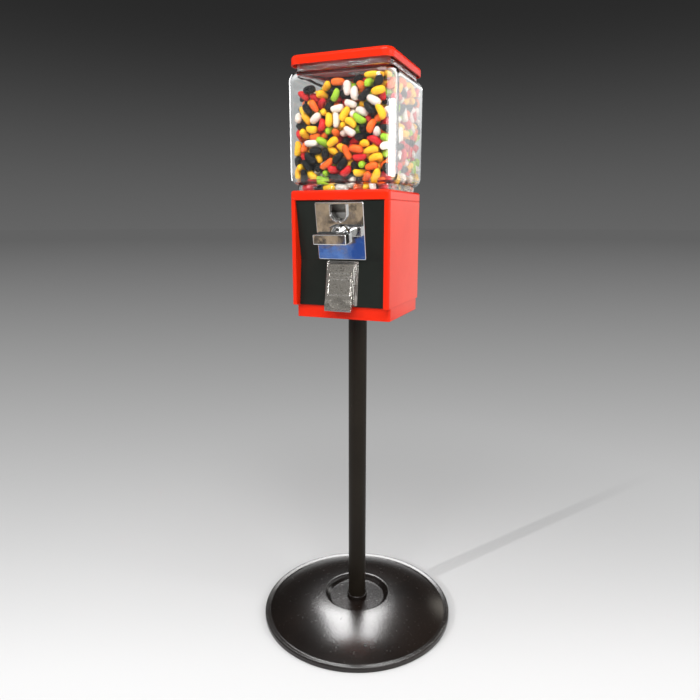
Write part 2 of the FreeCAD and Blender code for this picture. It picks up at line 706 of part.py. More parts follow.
def crown_gear():
    """Ring of downward teeth under the dispensing wheel."""
    ring = tube(GEAR_OUTER + 2.0, GEAR_INNER - 2.0, WHEEL_BOTTOM, WHEEL_BOTTOM + RING_THICK)
    step = 2 * math.pi / CROWN_TEETH
    return joined(ring, *[crown_tooth(tooth * step) for tooth in range(CROWN_TEETH)])


def dispensing_wheel():
    """Disc with round pockets that carry the candy to the drop hole."""
    disc = drum(WHEEL_RADIUS, WHEEL_BOTTOM + RING_THICK, WHEEL_TOP)
    boss = drum(GEAR_INNER - 2.0, WHEEL_BOTTOM, WHEEL_BOTTOM + RING_THICK)
    step = 2 * math.pi / POCKETS
    places = [(POCKET_CIRCLE * math.cos(k * step), POCKET_CIRCLE * math.sin(k * step))
              for k in range(POCKETS)]
    pockets = [drum(POCKET_RADIUS, WHEEL_BOTTOM, WHEEL_TOP, x, y) for x, y in places]
    return less(joined(disc, boss), drum(ROD_RADIUS + 4.0, WHEEL_BOTTOM, WHEEL_TOP), *pockets)


def wheel_bush():
    """Bush in the wheel's bore, running on the centre rod."""
    return tube(ROD_RADIUS + 4.0, ROD_RADIUS + RUNNING_GAP, WHEEL_BOTTOM, WHEEL_TOP)


def thrust_washer():
    """Washer on the hopper's shelf under the wheel."""
    return tube(PAN_BOSS_RADIUS, ROD_RADIUS + 0.4, HOPPER_SHELF, WHEEL_BOTTOM - 0.06)


def agitator():
    """Ring with two bent wires that stir the candy above the wheel."""
    wire = 1.6
    ring = tube(8.6, ROD_RADIUS + 0.4, WHEEL_TOP, WHEEL_TOP + 8.0)
    pieces = []
    for side in (-1, 1):
        root = Vector(7.0 * side, 0, WHEEL_TOP + 6.0)
        elbow = Vector(24.0 * side, 0, WHEEL_TOP + 12.0)
        tip = Vector(27.0 * side, 0, WHEEL_TOP + 34.0)
        pieces += [bar(wire, root, elbow), Part.makeSphere(wire, elbow), bar(wire, elbow, tip)]
    return joined(ring, *pieces)


def drop_hole(z0, z1):
    """The hole that candy falls through, at the machine's left."""
    return drum(POCKET_RADIUS + 1.0, z0, z1, -POCKET_CIRCLE, 0)


def wiper_rivet_bars():
    """Rivets that hold the wiper to the hopper's wall."""
    height = WHEEL_TOP + 3.6
    outside = -HOPPER_BORE - HOPPER_WALL - 1.0
    inside = -HOPPER_BORE + 4.0
    return [bar(1.2, Vector(outside, y, height), Vector(inside, y, height)) for y in (-7.0, 7.0)]


def hopper():
    """Funnel in the tray with a stepped floor, a drop hole and a window for the pinion."""
    bottom = HOPPER_CHANNEL - 2.5
    outer = HOPPER_BORE + HOPPER_WALL
    flange_top = TRAY_DECK + 2.5
    bowl = lathe(
        (HOPPER_FLANGE, flange_top), (HOPPER_MOUTH, flange_top), (HOPPER_BORE, HOPPER_CONE_FOOT),
        (HOPPER_BORE, HOPPER_CHANNEL), (SHELF_RADIUS, HOPPER_CHANNEL), (SHELF_RADIUS, HOPPER_SHELF),
        (ROD_RADIUS + 0.3, HOPPER_SHELF), (ROD_RADIUS + 0.3, bottom), (14.0, bottom),
        (14.0, HOPPER_SHELF - 3.0), (SHELF_RADIUS - 2.2, HOPPER_SHELF - 3.0), (SHELF_RADIUS - 2.2, bottom),
        (outer, bottom), (outer, HOPPER_CONE_FOOT), (HOPPER_MOUTH + 1.4, TRAY_DECK),
        (HOPPER_FLANGE, TRAY_DECK))
    window = block(-10.5, 10.5, -outer - 2.0, -SHELF_RADIUS - 0.3, bottom - 1.0, HOPPER_SHELF - 1.5)
    return less(bowl, window, drop_hole(bottom, HOPPER_SHELF), *wiper_rivet_bars())


def wiper_plate():
    """Flat shield over the drop hole that keeps loose candy out of it."""
    z0 = WHEEL_TOP + 1.0
    half = POCKET_RADIUS + 1.0
    end = -HOPPER_BORE + 1.9
    plate = block(end, -ROD_RADIUS - 4.0, -half, half, z0, z0 + 1.6)
    tab = block(end, end + 1.4, -half, half, z0, z0 + 7.0)
    return less(joined(plate, tab), drum(9.4, z0, z0 + 9.0), *wiper_rivet_bars())


def wiper_rivets():
    """The wiper's two rivets."""
    return group(wiper_rivet_bars())


def slide_band(low, high):
    """The space between two heights above the slide's sloping floor."""
    back = 40.0
    front = SLIDE_FRONT - 20.0
    at = [SLIDE_FRONT_HEIGHT + (y - SLIDE_FRONT) * SLIDE_RISE for y in (front, back)]
    return prism_x(-SIDE, SIDE, (front, at[0] + low), (back, at[1] + low),
                   (back, at[1] + high), (front, at[0] + high))


def slide_plan(inset, front):
    """Plan of the slide: from under the drop hole it bends to the middle of the front."""
    left, right, back = -44.0 + inset, -9.0 - inset, 16.0 - inset
    mouth = 21.0 - inset
    return prism_z(PAN_BOTTOM, TRAY_TOP, (left, back), (right, back), (right, -10.0), (mouth, -58.0),
                   (mouth, front), (-mouth, front), (-mouth, -58.0), (left, -10.0))


def inner_chute():
    """Sheet slide that leads candy from the drop hole to the chute, with tabs on the chute's studs."""
    trough = slide_plan(0.0, SLIDE_FRONT).common(slide_band(0.0, SLIDE_WALL))
    hollow = slide_plan(SLIDE_SHEET, SLIDE_FRONT - 2.0).common(slide_band(SLIDE_SHEET, SLIDE_WALL + 1.0))
    z0 = -PANEL_SHEET - SLIDE_SHEET - 0.1
    tab = block(CHUTE_MOUTH - 0.6, CHUTE_STUD_U + 4.0, CHUTE_STUDS[0] - 7.0, CHUTE_STUDS[0] + 7.0,
                z0, z0 + SLIDE_SHEET)
    tab = tab.cut(drum(PIN_RADIUS, z0, z0 + SLIDE_SHEET, CHUTE_STUD_U, CHUTE_STUDS[0]))
    return joined(less(trough, hollow), *[placed(side, LOWER) for side in both_sides(tab)])


def chute_frame():
    """Bright frame round the chute's mouth, with cheeks, a head bar and a sloping apron."""
    plate = block(-CHUTE_HALF, CHUTE_HALF, CHUTE_FOOT, CHUTE_HEAD, 0.0, CHUTE_PLATE)
    plate = plate.makeFillet(2.0, [edge for edge in plate.Edges if edge.BoundBox.ZLength > 1.0])
    mouth = block(-CHUTE_MOUTH, CHUTE_MOUTH, CHUTE_SILL, -5.0, -1.0, CHUTE_PLATE)
    cheek = prism_x(CHEEK_INNER, CHEEK_INNER + CHEEK_WALL, (6.5, 0.0), (6.5, 5.5), ((5.6, 7.4), (3.5, 8.2)),
                    (CHUTE_FOOT + 8.0, 11.0), ((CHUTE_FOOT + 3.0, 9.5), (CHUTE_FOOT + 1.0, 6.0)),
                    (CHUTE_FOOT + 1.0, 0.0))
    head_bar = block(-CHEEK_INNER - 0.5, CHEEK_INNER + 0.5, 4.2, 6.8, 0.5, 4.8)
    apron = prism_x(-CHUTE_MOUTH + 0.2, CHUTE_MOUTH - 0.2,
                    (-49.9, -1.4), (-55.6, 8.6), (-57.2, 7.9), (-51.5, -1.4))
    studs = [drum(PIN_RADIUS, -9.0, 0.5, u, v) for u, v in chute_stud_places()]
    pin = bar(PIN_RADIUS, Vector(-SIDE, 0, PIN_OUT), Vector(SIDE, 0, PIN_OUT))
    frame = joined(less(plate, mouth), head_bar, apron, *both_sides(cheek), *studs)
    return placed(less(frame, pin), LOWER)


def chute_nuts():
    """Nuts on the chute frame's studs."""
    nuts = []
    for u, v in chute_stud_places():
        on_tab = SLIDE_SHEET + 0.1 if v == CHUTE_STUDS[0] else 0.0
        top = -PANEL_SHEET - on_tab
        nuts.append(placed(nut(3.0, PIN_RADIUS, top - 2.4, top, u, v), LOWER))
    return group(nuts)


def door_hinge_pin():
    """Pin between the chute's cheeks."""
    reach = CHEEK_INNER + CHEEK_WALL
    return placed(bar(PIN_RADIUS, Vector(-reach, 0, PIN_OUT), Vector(reach, 0, PIN_OUT)), LOWER)


def chute_door():
    """Hanging flap with a rolled foot, side skirts, two raised bare borders and a hollow for a finger."""
    outer = KNUCKLE_RADIUS
    inner = KNUCKLE_RADIUS - DOOR_THICK
    roll = DOOR_LENGTH - 18.0
    flap = prism_x(-DOOR_HALF, DOOR_HALF, (0.0, inner), (0.0, outer), (-roll, outer),
                   ((-roll - 10.0, outer + 0.5), (-DOOR_LENGTH, outer - 1.4)),
                   (-DOOR_LENGTH, outer - 1.4 - DOOR_THICK), ((-roll - 10.0, inner + 0.5), (-roll, inner)))
    knuckle = bar(KNUCKLE_RADIUS, Vector(-DOOR_HALF, 0, 0), Vector(DOOR_HALF, 0, 0))
    skirt = prism_x(DOOR_HALF - SHEET, DOOR_HALF, (-3.0, inner + 0.4), (-3.0, -1.0), (-60.0, -8.6),
                    (-DOOR_LENGTH + 2.0, -5.0), (-DOOR_LENGTH + 0.6, -0.4), (-roll, inner + 0.4))
    borders = [door_border(outer, -12.0, -19.0), door_border(outer, -21.5, -48.0)]
    hollow = Part.makeSphere(90.0, Vector(0, -roll - 6.0, outer + 89.5))
    hole = bar(PIN_RADIUS + RUNNING_GAP, Vector(-DOOR_HALF, 0, 0), Vector(DOOR_HALF, 0, 0))
    door = less(joined(flap, knuckle, *borders, *both_sides(skirt)), hole, hollow)
    hang = Placement(Vector(0, 0, PIN_OUT), Rotation(X_AXIS, -DOOR_LEAN))
    return placed(placed(door, hang), LOWER)


def door_border(face, top, foot):
    """A raised rectangle on the door's face between two heights."""
    half, ridge = DOOR_HALF - 3.0, 1.4
    frame = block(-half, half, foot, top, face - 0.2, face + 0.7)
    return frame.cut(block(-half + ridge, half - ridge, foot + ridge, top - ridge, face - 0.2, face + 0.7))


def globe_form(width, corner, shoulder, z0, z1):
    """Square body with round upright corners and round shoulders."""
    body = slab(width, width, corner, z0, z1)
    return body.makeFillet(shoulder, edges_at(body, z0) + edges_at(body, z1))


def globe():
    """Square glass jar, open at both necks."""
    z0, z1 = GLOBE_BODY
    body = globe_form(GLOBE_WIDTH, GLOBE_CORNER, GLOBE_SHOULDER, z0, z1)
    neck = slab(GLOBE_NECK, GLOBE_NECK, GLOBE_NECK_CORNER, GLOBE_BOTTOM, GLOBE_TOP)
    inside = globe_form(GLOBE_WIDTH - 2 * GLOBE_GLASS, GLOBE_CORNER - GLOBE_GLASS, GLOBE_SHOULDER - 4.0,
                        z0 + GLOBE_GLASS, z1 - GLOBE_GLASS)
    mouth = slab(GLOBE_NECK - 2 * GLOBE_GLASS, GLOBE_NECK - 2 * GLOBE_GLASS, GLOBE_NECK_CORNER - GLOBE_GLASS,
                 GLOBE_BOTTOM, GLOBE_TOP)
    return less(joined(body, neck), inside, mouth)


def gasket(z0, z1):
    """Square rubber ring that fits a neck of the globe."""
    outer = GLOBE_NECK + 2.5
    inner = GLOBE_NECK - 2 * GLOBE_GLASS + 1.0
    return slab(outer, outer, GLOBE_NECK_CORNER + 1.2, z0, z1).cut(slab(inner, inner, 13.0, z0, z1))


def lower_gasket():
    """Ring between the tray and the globe."""
    return gasket(TRAY_DECK, GLOBE_BOTTOM)


def upper_gasket():
    """Ring between the globe and the lid."""
    return gasket(GLOBE_TOP, GLOBE_TOP + GASKET)


def lid():
    """Red square cap with a skirt, a round edge and a boss for the lock."""
    cap = slab(LID_WIDTH, LID_WIDTH, LID_CORNER, LID_BOTTOM, LID_TOP)
    cap = cap.makeFillet(LID_EDGE, edges_at(cap, LID_TOP))
    hollow = slab(LID_WIDTH - 2 * LID_WALL, LID_WIDTH - 2 * LID_WALL, LID_CORNER - LID_WALL,
                  LID_BOTTOM, GLOBE_TOP + GASKET)
    boss = Part.makeCone(22.0, 17.0, 3.0, Vector(0, 0, LID_TOP))
    return less(joined(less(cap, hollow), boss), drum(LOCK_RADIUS, LID_BOTTOM, LOCK_TOP))


def lock_barrel():
    """Flanged lock body through the lid, bored for the rod's end and the plug."""
    seat = LID_TOP + 3.0
    body = joined(drum(LOCK_RADIUS, LOCK_BOTTOM, LOCK_TOP), drum(LOCK_RADIUS + 3.5, seat, seat + 2.5))
    body = body.makeFillet(1.2, edges_at(body, LOCK_TOP))
    rod_bore = drum(ROD_RADIUS + 0.4, LOCK_BOTTOM, LOCK_STEP)
    return less(body, rod_bore, drum(PLUG_RADIUS + RUNNING_GAP, LOCK_STEP, LOCK_TOP))


def lock_nut():
    """Nut under the lid on the lock's body."""
    top = GLOBE_TOP + GASKET
    return nut(18.0, LOCK_RADIUS, top - 5.0, top)


def lock_plug():
    """Turning plug with a key slot."""
    plug = drum(PLUG_RADIUS, LOCK_STEP + 0.2, LOCK_TOP + 0.6)
    return plug.cut(block(-4.5, 4.5, -1.1, 1.1, LOCK_TOP - 5.0, LOCK_TOP + 1.0))


def centre_rod():
    """Tie rod from the pan to the lock."""
    return drum(ROD_RADIUS, ROD_BOTTOM, ROD_TOP)


def rod_nut():
    """Nut that locks the rod on the pan's boss."""
    foot = PAN_BOTTOM + PAN_FLOOR + PAN_BOSS_HEIGHT
    return nut(9.5, ROD_RADIUS, foot, foot + 6.0)


def bed_height(x):
    """Height of the candy's bed at a place across the globe."""
    return BEANS_LEVEL + BEANS_SLANT * x


def bean(centre, turn):
    """One six-sided bean with bevelled ends, turned from upright and put in place."""
    form = hexagon(BEAN_RADIUS, -BEAN_HALF, BEAN_HALF)
    form = form.makeChamfer(BEAN_BEVEL, edges_at(form, -BEAN_HALF) + edges_at(form, BEAN_HALF))
    return placed(form, Placement(centre, turn))


def brick_places(row):
    """Places of the beans along a row, moved by half a column in every other row."""
    moved = 0.5 * (row % 2)
    return [(k + moved) * BEAN_COLUMN for k in range(-2, 3 - row % 2)]


def wall_beans():
    """Beans that lie against the globe's four walls and stand in its corners."""
    depth = GLOBE_WIDTH / 2 - GLOBE_GLASS - CANDY_GAP - BEAN_RADIUS
    bend = GLOBE_CORNER - GLOBE_GLASS
    corner = GLOBE_WIDTH / 2 - GLOBE_CORNER + (bend - CANDY_GAP - BEAN_RADIUS) * math.sqrt(0.5)
    rows = int((bed_height(depth) - BEANS_FOOT) / BEAN_ROW) + 1
    beans = []
    for side in range(4):
        spin = Rotation(Z_AXIS, 90 * side)
        for row in range(rows):
            height = BEANS_FOOT + row * BEAN_ROW
            along = [(place, depth, BEAN_TURN * (len(beans) + k))
                     for k, place in enumerate(brick_places(row))]
            for across, out, turn in along + [(corner, corner, 0.0)]:
                centre = spin.multVec(Vector(across, -out, height))
                if height < bed_height(centre.x) - BEAN_RADIUS:
                    beans.append(bean(centre, spin.multiply(Rotation(Vector(0, 1, 0), turn))))
    return beans


def top_beans():
    """Beans that lie on the slanting top of the heap, clear of the rod."""
    lean = Rotation(Z_AXIS, Vector(-BEANS_SLANT, 0, 1))
    flat = Rotation(X_AXIS, 90)
    beans = []
    for row in range(-2, 3):
        for x in brick_places(row):
            y = row * BEAN_ROW
            if math.hypot(x, y) > 2 * BEAN_RADIUS + ROD_RADIUS:
                turn = lean.multiply(Rotation(Z_AXIS, BEAN_TURN * len(beans))).multiply(flat)
                beans.append(bean(Vector(x, y, bed_height(x) - 1.0), turn))
    return beans


def jelly_beans():
    """The heap of candy in the globe and the hopper's mouth, with a slanting top."""
    z0, z1 = GLOBE_BODY
    inset = GLOBE_GLASS + CANDY_GAP
    width = GLOBE_WIDTH - 2 * inset - 2 * BED_INSET
    neck = GLOBE_NECK - 2 * inset
    bed = slab(width, width, GLOBE_CORNER - inset - BED_INSET, z0 + inset, z1)
    throat = slab(neck, neck, GLOBE_NECK_CORNER - inset, TRAY_DECK + 2.5 + CANDY_GAP, z0 + 3 * GLOBE_GLASS)
    cone_foot = 756.0
    flare = (HOPPER_MOUTH - HOPPER_BORE) / (TRAY_DECK + 2.5 - HOPPER_CONE_FOOT)
    foot_radius = HOPPER_BORE + (cone_foot - HOPPER_CONE_FOOT) * flare - 2 * CANDY_GAP
    cone_height = TRAY_DECK + 5.0 - cone_foot
    cone = Part.makeCone(foot_radius, foot_radius + cone_height * flare, cone_height, Vector(0, 0, cone_foot))
    lean = Rotation(Z_AXIS, Vector(-BEANS_SLANT, 0, 1))
    leaning = Placement(Vector(0, 0, BEANS_LEVEL), lean)
    above = placed(block(-300.0, 300.0, -300.0, 300.0, 0.0, 200.0), leaning)
    stirred = drum(33.0, cone_foot - 1.0, WHEEL_TOP + 41.0)
    heap = joined(less(joined(bed, throat, cone), above), *wall_beans(), *top_beans())
    return less(heap, stirred, drum(ROD_RADIUS + CANDY_GAP, cone_foot, LID_TOP))


PIECES = (
    stand_base, pole, pole_foot_collar, base_lock_nut, pole_flange, flange_bolts, flange_nuts,
    base_pan, cabinet_shell, front_panel, panel_rivets, top_tray, coin_box,
    coin_plate, coin_guard, handle, handle_pin, handle_shaft, front_bush, rear_bush, coin_carrier,
    ratchet_wheel, ratchet_pawl, pawl_pin, pawl_spring, mech_frame, mech_nuts, drive_pinion, pinion_pin,
    hopper, dispensing_wheel, crown_gear, wheel_bush, thrust_washer, agitator, wiper_plate, wiper_rivets,
    inner_chute, chute_frame, chute_nuts, chute_door, door_hinge_pin,
    globe, lower_gasket, upper_gasket, centre_rod, rod_nut, lid, lock_barrel, lock_nut, lock_plug,
    jelly_beans,
)

os.makedirs("parts", exist_ok=True)
for piece in PIECES:
    solid = piece()
    solid.exportStep("parts/" + piece.__name__ + ".step")
    print(piece.__name__, len(solid.Solids), solid.isValid(), round(solid.Volume))
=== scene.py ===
"""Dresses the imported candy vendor: enamel, chrome, glass, a heap of jelly beans and a plain studio."""

from __future__ import annotations

import logging
import math
from dataclasses import dataclass, field
from enum import Enum
from typing import Any, Sequence

import bmesh
import bpy
import numpy as np
from mathutils import Matrix, Vector

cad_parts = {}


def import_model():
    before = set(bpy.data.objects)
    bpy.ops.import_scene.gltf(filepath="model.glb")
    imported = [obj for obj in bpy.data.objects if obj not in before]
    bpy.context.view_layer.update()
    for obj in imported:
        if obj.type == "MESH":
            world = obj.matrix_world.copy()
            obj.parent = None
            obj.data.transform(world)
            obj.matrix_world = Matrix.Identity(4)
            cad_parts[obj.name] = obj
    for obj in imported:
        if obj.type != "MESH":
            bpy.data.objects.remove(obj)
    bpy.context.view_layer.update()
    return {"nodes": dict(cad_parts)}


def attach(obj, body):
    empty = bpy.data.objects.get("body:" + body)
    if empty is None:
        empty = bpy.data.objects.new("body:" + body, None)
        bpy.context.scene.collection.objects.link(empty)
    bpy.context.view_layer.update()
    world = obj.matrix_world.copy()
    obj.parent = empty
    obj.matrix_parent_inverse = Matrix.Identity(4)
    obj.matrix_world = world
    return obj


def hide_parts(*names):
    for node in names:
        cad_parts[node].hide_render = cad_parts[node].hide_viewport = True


LOG = logging.getLogger("candy_vendor")
MM = 0.001
TINY = 1e-6
EDGE_SAMPLES, ROUND_SAMPLES = 6, 4
MIX_FACTOR, MIX_FIRST, MIX_SECOND, MIX_RESULT = 0, 6, 7, 2

Socket = bpy.types.NodeSocket
Nodes = dict[str, bpy.types.Object]
Colour = tuple[float, float, float]
Triple = tuple[float, float, float]
Pair = tuple[float, float]


@dataclass(frozen=True)
class Band:
    """A smooth step: start at low and below it, end at high and above it."""

    low: float
    high: float
    start: float = 0.0
    end: float = 1.0


@dataclass(frozen=True)
class Speckle:
    """A cloudy pattern: cycles per metre, octaves, weight of the finer ones, and stretch on each axis."""

    scale: float
    detail: float = 3.0
    roughness: float = 0.5
    stretch: Triple | None = None


class Val:
    """A shader socket that takes part in Python arithmetic."""

    def __init__(self, graph: Graph, socket: Socket) -> None:
        """Keeps the socket and the graph that it belongs to."""
        self.graph = graph
        self.socket = socket

    def math(self, operation: str, *others: Val | float) -> Val:
        """Adds one Math node.

        Args:
            operation: Blender's name of the operation.
            others: the further operands.

        Returns:
            The node's result.
        """
        inputs = dict(enumerate((self, *others)))
        return self.graph.value("ShaderNodeMath", {"operation": operation}, inputs)

    def __add__(self, other: Val | float) -> Val:
        """Sum."""
        return self.math("ADD", other)

    __radd__ = __add__

    def __mul__(self, other: Val | float) -> Val:
        """Product."""
        return self.math("MULTIPLY", other)

    __rmul__ = __mul__

    def __sub__(self, other: Val | float) -> Val:
        """Difference."""
        return self.math("SUBTRACT", other)

    def __rsub__(self, other: float) -> Val:
        """Difference from a number."""
        return self.graph.value("ShaderNodeMath", {"operation": "SUBTRACT"}, {0: other, 1: self})

    def __truediv__(self, other: Val | float) -> Val:
        """Quotient."""
        return self.math("DIVIDE", other)

    def __rtruediv__(self, other: float) -> Val:
        """Quotient of a number by the value."""
        return self.graph.value("ShaderNodeMath", {"operation": "DIVIDE"}, {0: other, 1: self})

    def ramp(self, band: Band) -> Val:
        """Smooth step of the value.

        Args:
            band: where the step begins and ends, and its results there.

        Returns:
            The mapped value.
        """
        settings = {"interpolation_type": "SMOOTHSTEP", "clamp": True}
        inputs = {0: self, 1: band.low, 2: band.high, 3: band.start, 4: band.end}
        return self.graph.value("ShaderNodeMapRange", settings, inputs)


class Graph:
    """The node tree of one material or of the world."""

    def __init__(self, owner: bpy.types.Material | bpy.types.World, space: str = "Object") -> None:
        """Empties the owner's node tree.

        Args:
            owner: the material or the world.
            space: the coordinates that its patterns follow.
        """
        owner.use_nodes = True
        self.owner = owner
        self.tree = owner.node_tree
        self.tree.nodes.clear()
        self.coordinates = self.node("ShaderNodeTexCoord").outputs[space]

    def node(self, kind: str, settings: dict[str, Any] | None = None,
             inputs: dict[Any, Any] | None = None) -> bpy.types.Node:
        """Adds a node.

        Args:
            kind: the node's type.
            settings: its properties, set first.
            inputs: values or links of its sockets, by name or index.

        Returns:
            The node.
        """
        made = self.tree.nodes.new(kind)
        for key, setting in (settings or {}).items():
            setattr(made, key, setting)
        for key, given in (inputs or {}).items():
            source = given.socket if isinstance(given, Val) else given
            if isinstance(source, Socket):
                self.tree.links.new(source, made.inputs[key])
            else:
                made.inputs[key].default_value = source
        return made

    def value(self, kind: str, settings: dict[str, Any] | None = None,
              inputs: dict[Any, Any] | None = None, output: Any = 0) -> Val:
        """Adds a node and returns one of its outputs."""
        return Val(self, self.node(kind, settings, inputs).outputs[output])

    def ray(self, kind: str) -> Val:
        """1 for a ray of that kind and 0 for any other."""
        return self.value("ShaderNodeLightPath", None, None, kind)

    def noise(self, speckle: Speckle) -> Val:
        """A cloudy pattern on the coordinates.

        Args:
            speckle: its fineness and stretch.

        Returns:
            The pattern, from 0 to 1.
        """
        vector = self.coordinates
        if speckle.stretch:
            stretched = {"Vector": vector, "Scale": speckle.stretch}
            vector = self.node("ShaderNodeMapping", None, stretched).outputs[0]
        inputs = {"Vector": vector, "Scale": speckle.scale, "Detail": speckle.detail,
                  "Roughness": speckle.roughness}
        return self.value("ShaderNodeTexNoise", None, inputs)

    def height(self) -> Val:
        """The height over the coordinates' origin."""
        return self.value("ShaderNodeSeparateXYZ", None, {0: self.coordinates}, "Z")

    def dot(self, first: Any, second: Any) -> Val:
        """The dot product of two vectors."""
        inputs = {0: first, 1: second}
        return self.value("ShaderNodeVectorMath", {"operation": "DOT_PRODUCT"}, inputs, "Value")

    def edge(self, radius: float) -> Val:
        """Finds edges.

        Args:
            radius: how far from a point a turn of the surface counts.

        Returns:
            How sharply the surface turns there, near 0 on flats.
        """
        rounded = self.node("ShaderNodeBevel", {"samples": EDGE_SAMPLES}, {"Radius": radius}).outputs[0]
        plain = self.node("ShaderNodeNewGeometry").outputs["Normal"]
        return 1 - self.dot(rounded, plain)

    def rounded(self, radius: float) -> Socket:
        """The normal with edges softened over a radius."""
        return self.node("ShaderNodeBevel", {"samples": ROUND_SAMPLES}, {"Radius": radius}).outputs[0]

    def bump(self, height: Val, distance: float, base: Socket | None = None) -> Socket:
        """Bends the normal by a height field.

        Args:
            height: the field, about 0 to 1.
            distance: height of 1, in metres.
            base: normal to start from in place of the plain one.

        Returns:
            The bent normal's socket.
        """
        inputs: dict[str, Any] = {"Height": height, "Distance": distance}
        if base is not None:
            inputs["Normal"] = base
        return self.node("ShaderNodeBump", None, inputs).outputs[0]

    def mix(self, factor: Val, first: Any, second: Any) -> Socket:
        """Blends two colours.

        Args:
            factor: share of the second colour.
            first: colour or socket at 0.
            second: colour or socket at 1.

        Returns:
            The blended colour's socket.
        """
        first, second = (side if isinstance(side, Socket) else (*side, 1.0) for side in (first, second))
        inputs = {MIX_FACTOR: factor, MIX_FIRST: first, MIX_SECOND: second}
        return self.node("ShaderNodeMix", {"data_type": "RGBA"}, inputs).outputs[MIX_RESULT]

    def grey(self, tone: Val) -> Socket:
        """A value as a grey colour."""
        return self.node("ShaderNodeCombineXYZ", None, {0: tone, 1: tone, 2: tone}).outputs[0]

    def glowing(self, colour: Socket) -> Socket:
        """A shader that gives off a colour."""
        return self.node("ShaderNodeEmission", None, {"Color": colour, "Strength": 1.0}).outputs[0]

    def either(self, factor: Val, first: Socket, second: Socket) -> Socket:
        """Two shaders, blended by a factor."""
        return self.node("ShaderNodeMixShader", None, {0: factor, 1: first, 2: second}).outputs[0]

    def principled(self, **inputs: Any) -> Socket:
        """A Principled shader; underscores in the names stand for spaces."""
        named = {key.replace("_", " "): given for key, given in inputs.items()}
        return self.node("ShaderNodeBsdfPrincipled", None, named).outputs[0]

    def finish(self, surface: Socket) -> bpy.types.Material:
        """Joins the surface to the output and returns the material."""
        self.node("ShaderNodeOutputMaterial", None, {"Surface": surface})
        return self.owner


@dataclass(frozen=True)
class Finish:
    """A finish that can make its material, which is named by its label."""

    label: str

    def surface(self, g: Graph) -> Socket:
        """Lays out the finish's nodes in a graph and returns its shader."""
        raise NotImplementedError

    def material(self) -> bpy.types.Material:
        """Makes the material."""
        g = Graph(bpy.data.materials.new(self.label))
        return g.finish(self.surface(g))


@dataclass(frozen=True)
class Enamel(Finish):
    """Baked gloss paint with orange peel, faint clouding and wear on its edges."""

    colour: Colour
    shade: Colour
    worn: Colour
    roughness: float = 0.2
    peel: float = 0.00003
    wear: float = 0.35
    gloss: float = 0.5
    rounding: float = 0.0012
    peeling: Speckle = Speckle(520.0, 2.0)
    clouding: Speckle = Speckle(9.0, 4.0)
    clouded: Band = Band(0.35, 0.7)
    cloud_dulling: float = 0.06
    scuffing: Speckle = Speckle(140.0, 6.0, 0.7)
    scuffed: Band = Band(0.56, 0.72)
    scuff_dulling: float = 0.08
    edge_width: float = 0.0011
    edges: Band = Band(0.10, 0.4)
    chipping: Speckle = Speckle(260.0, 5.0, 0.7)
    chipped: Band = Band(0.5, 0.66)
    chip_dulling: float = 0.3

    def surface(self, g: Graph) -> Socket:
        """Lays out paint, clouds, scuffs and chips.

        Args:
            g: the material's graph.

        Returns:
            The shader.
        """
        cloud = g.noise(self.clouding)
        scuff = g.noise(self.scuffing).ramp(self.scuffed)
        edges = g.edge(self.edge_width).ramp(self.edges)
        chips = edges * g.noise(self.chipping).ramp(self.chipped) * self.wear
        paint = g.mix(cloud.ramp(self.clouded), self.colour, self.shade)
        dulled = self.roughness + cloud * self.cloud_dulling + scuff * self.scuff_dulling
        return g.principled(
            Base_Color=g.mix(chips, paint, self.worn),
            Roughness=dulled + chips * self.chip_dulling,
            Specular_IOR_Level=self.gloss,
            Normal=g.bump(g.noise(self.peeling), self.peel, g.rounded(self.rounding)),
        )


@dataclass(frozen=True)
class Crackle(Finish):
    """Satin black sheet with a fine stipple."""

    colour: Colour
    shade: Colour
    roughness: float = 0.42
    gloss: float = 0.25
    clouding: Speckle = Speckle(14.0, 5.0, 0.6)
    clouded: Band = Band(0.3, 0.75)
    cloud_dulling: float = 0.1
    stippling: Speckle = Speckle(900.0, 3.0, 0.6)
    stipple_height: float = 0.00012
    stipple_dulling: float = 0.12

    def surface(self, g: Graph) -> Socket:
        """Lays out clouds and stipple.

        Args:
            g: the material's graph.

        Returns:
            The shader.
        """
        cloud = g.noise(self.clouding)
        stipple = g.noise(self.stippling)
        return g.principled(
            Base_Color=g.mix(cloud.ramp(self.clouded), self.colour, self.shade),
            Roughness=self.roughness + stipple * self.stipple_dulling + cloud * self.cloud_dulling,
            Specular_IOR_Level=self.gloss,
            Normal=g.bump(stipple, self.stipple_height),
        )


@dataclass(frozen=True)
class Plating(Finish):
    """Polished plating with a slight waviness, finger marks and, where pitting says so, small pits."""

    colour: Colour
    roughness: float = 0.05
    smudge: float = 0.10
    wave: float = 0.0002
    pitting: float = 0.0
    rounding: float = 0.0006
    waviness: Speckle = Speckle(38.0, 2.0)
    marking: Speckle = Speckle(55.0, 6.0, 0.65)
    marked: Band = Band(0.45, 0.75)
    mark_share: float = 0.6
    tarnish: float = 0.8
    pits: Speckle = Speckle(700.0, 4.0, 0.6)
    pitted: Band = Band(0.58, 0.75)
    pit_dulling: float = 0.25
    pit_depth: float = 0.12

    def surface(self, g: Graph) -> Socket:
        """Lays out waves, marks and pits.

        Args:
            g: the material's graph.

        Returns:
            The shader.
        """
        marks = g.noise(self.marking).ramp(self.marked)
        wave = g.noise(self.waviness)
        pits = g.noise(self.pits).ramp(self.pitted)
        dull = tuple(self.tarnish * part for part in self.colour)
        dulled = self.roughness + marks * self.smudge + pits * (self.pit_dulling * self.pitting)
        relief = wave - pits * (self.pit_depth * self.pitting)
        return g.principled(
            Base_Color=g.mix(marks * self.mark_share + pits * self.pitting, self.colour, dull),
            Metallic=1.0,
            Roughness=dulled,
            Normal=g.bump(relief, self.wave, g.rounded(self.rounding)),
        )


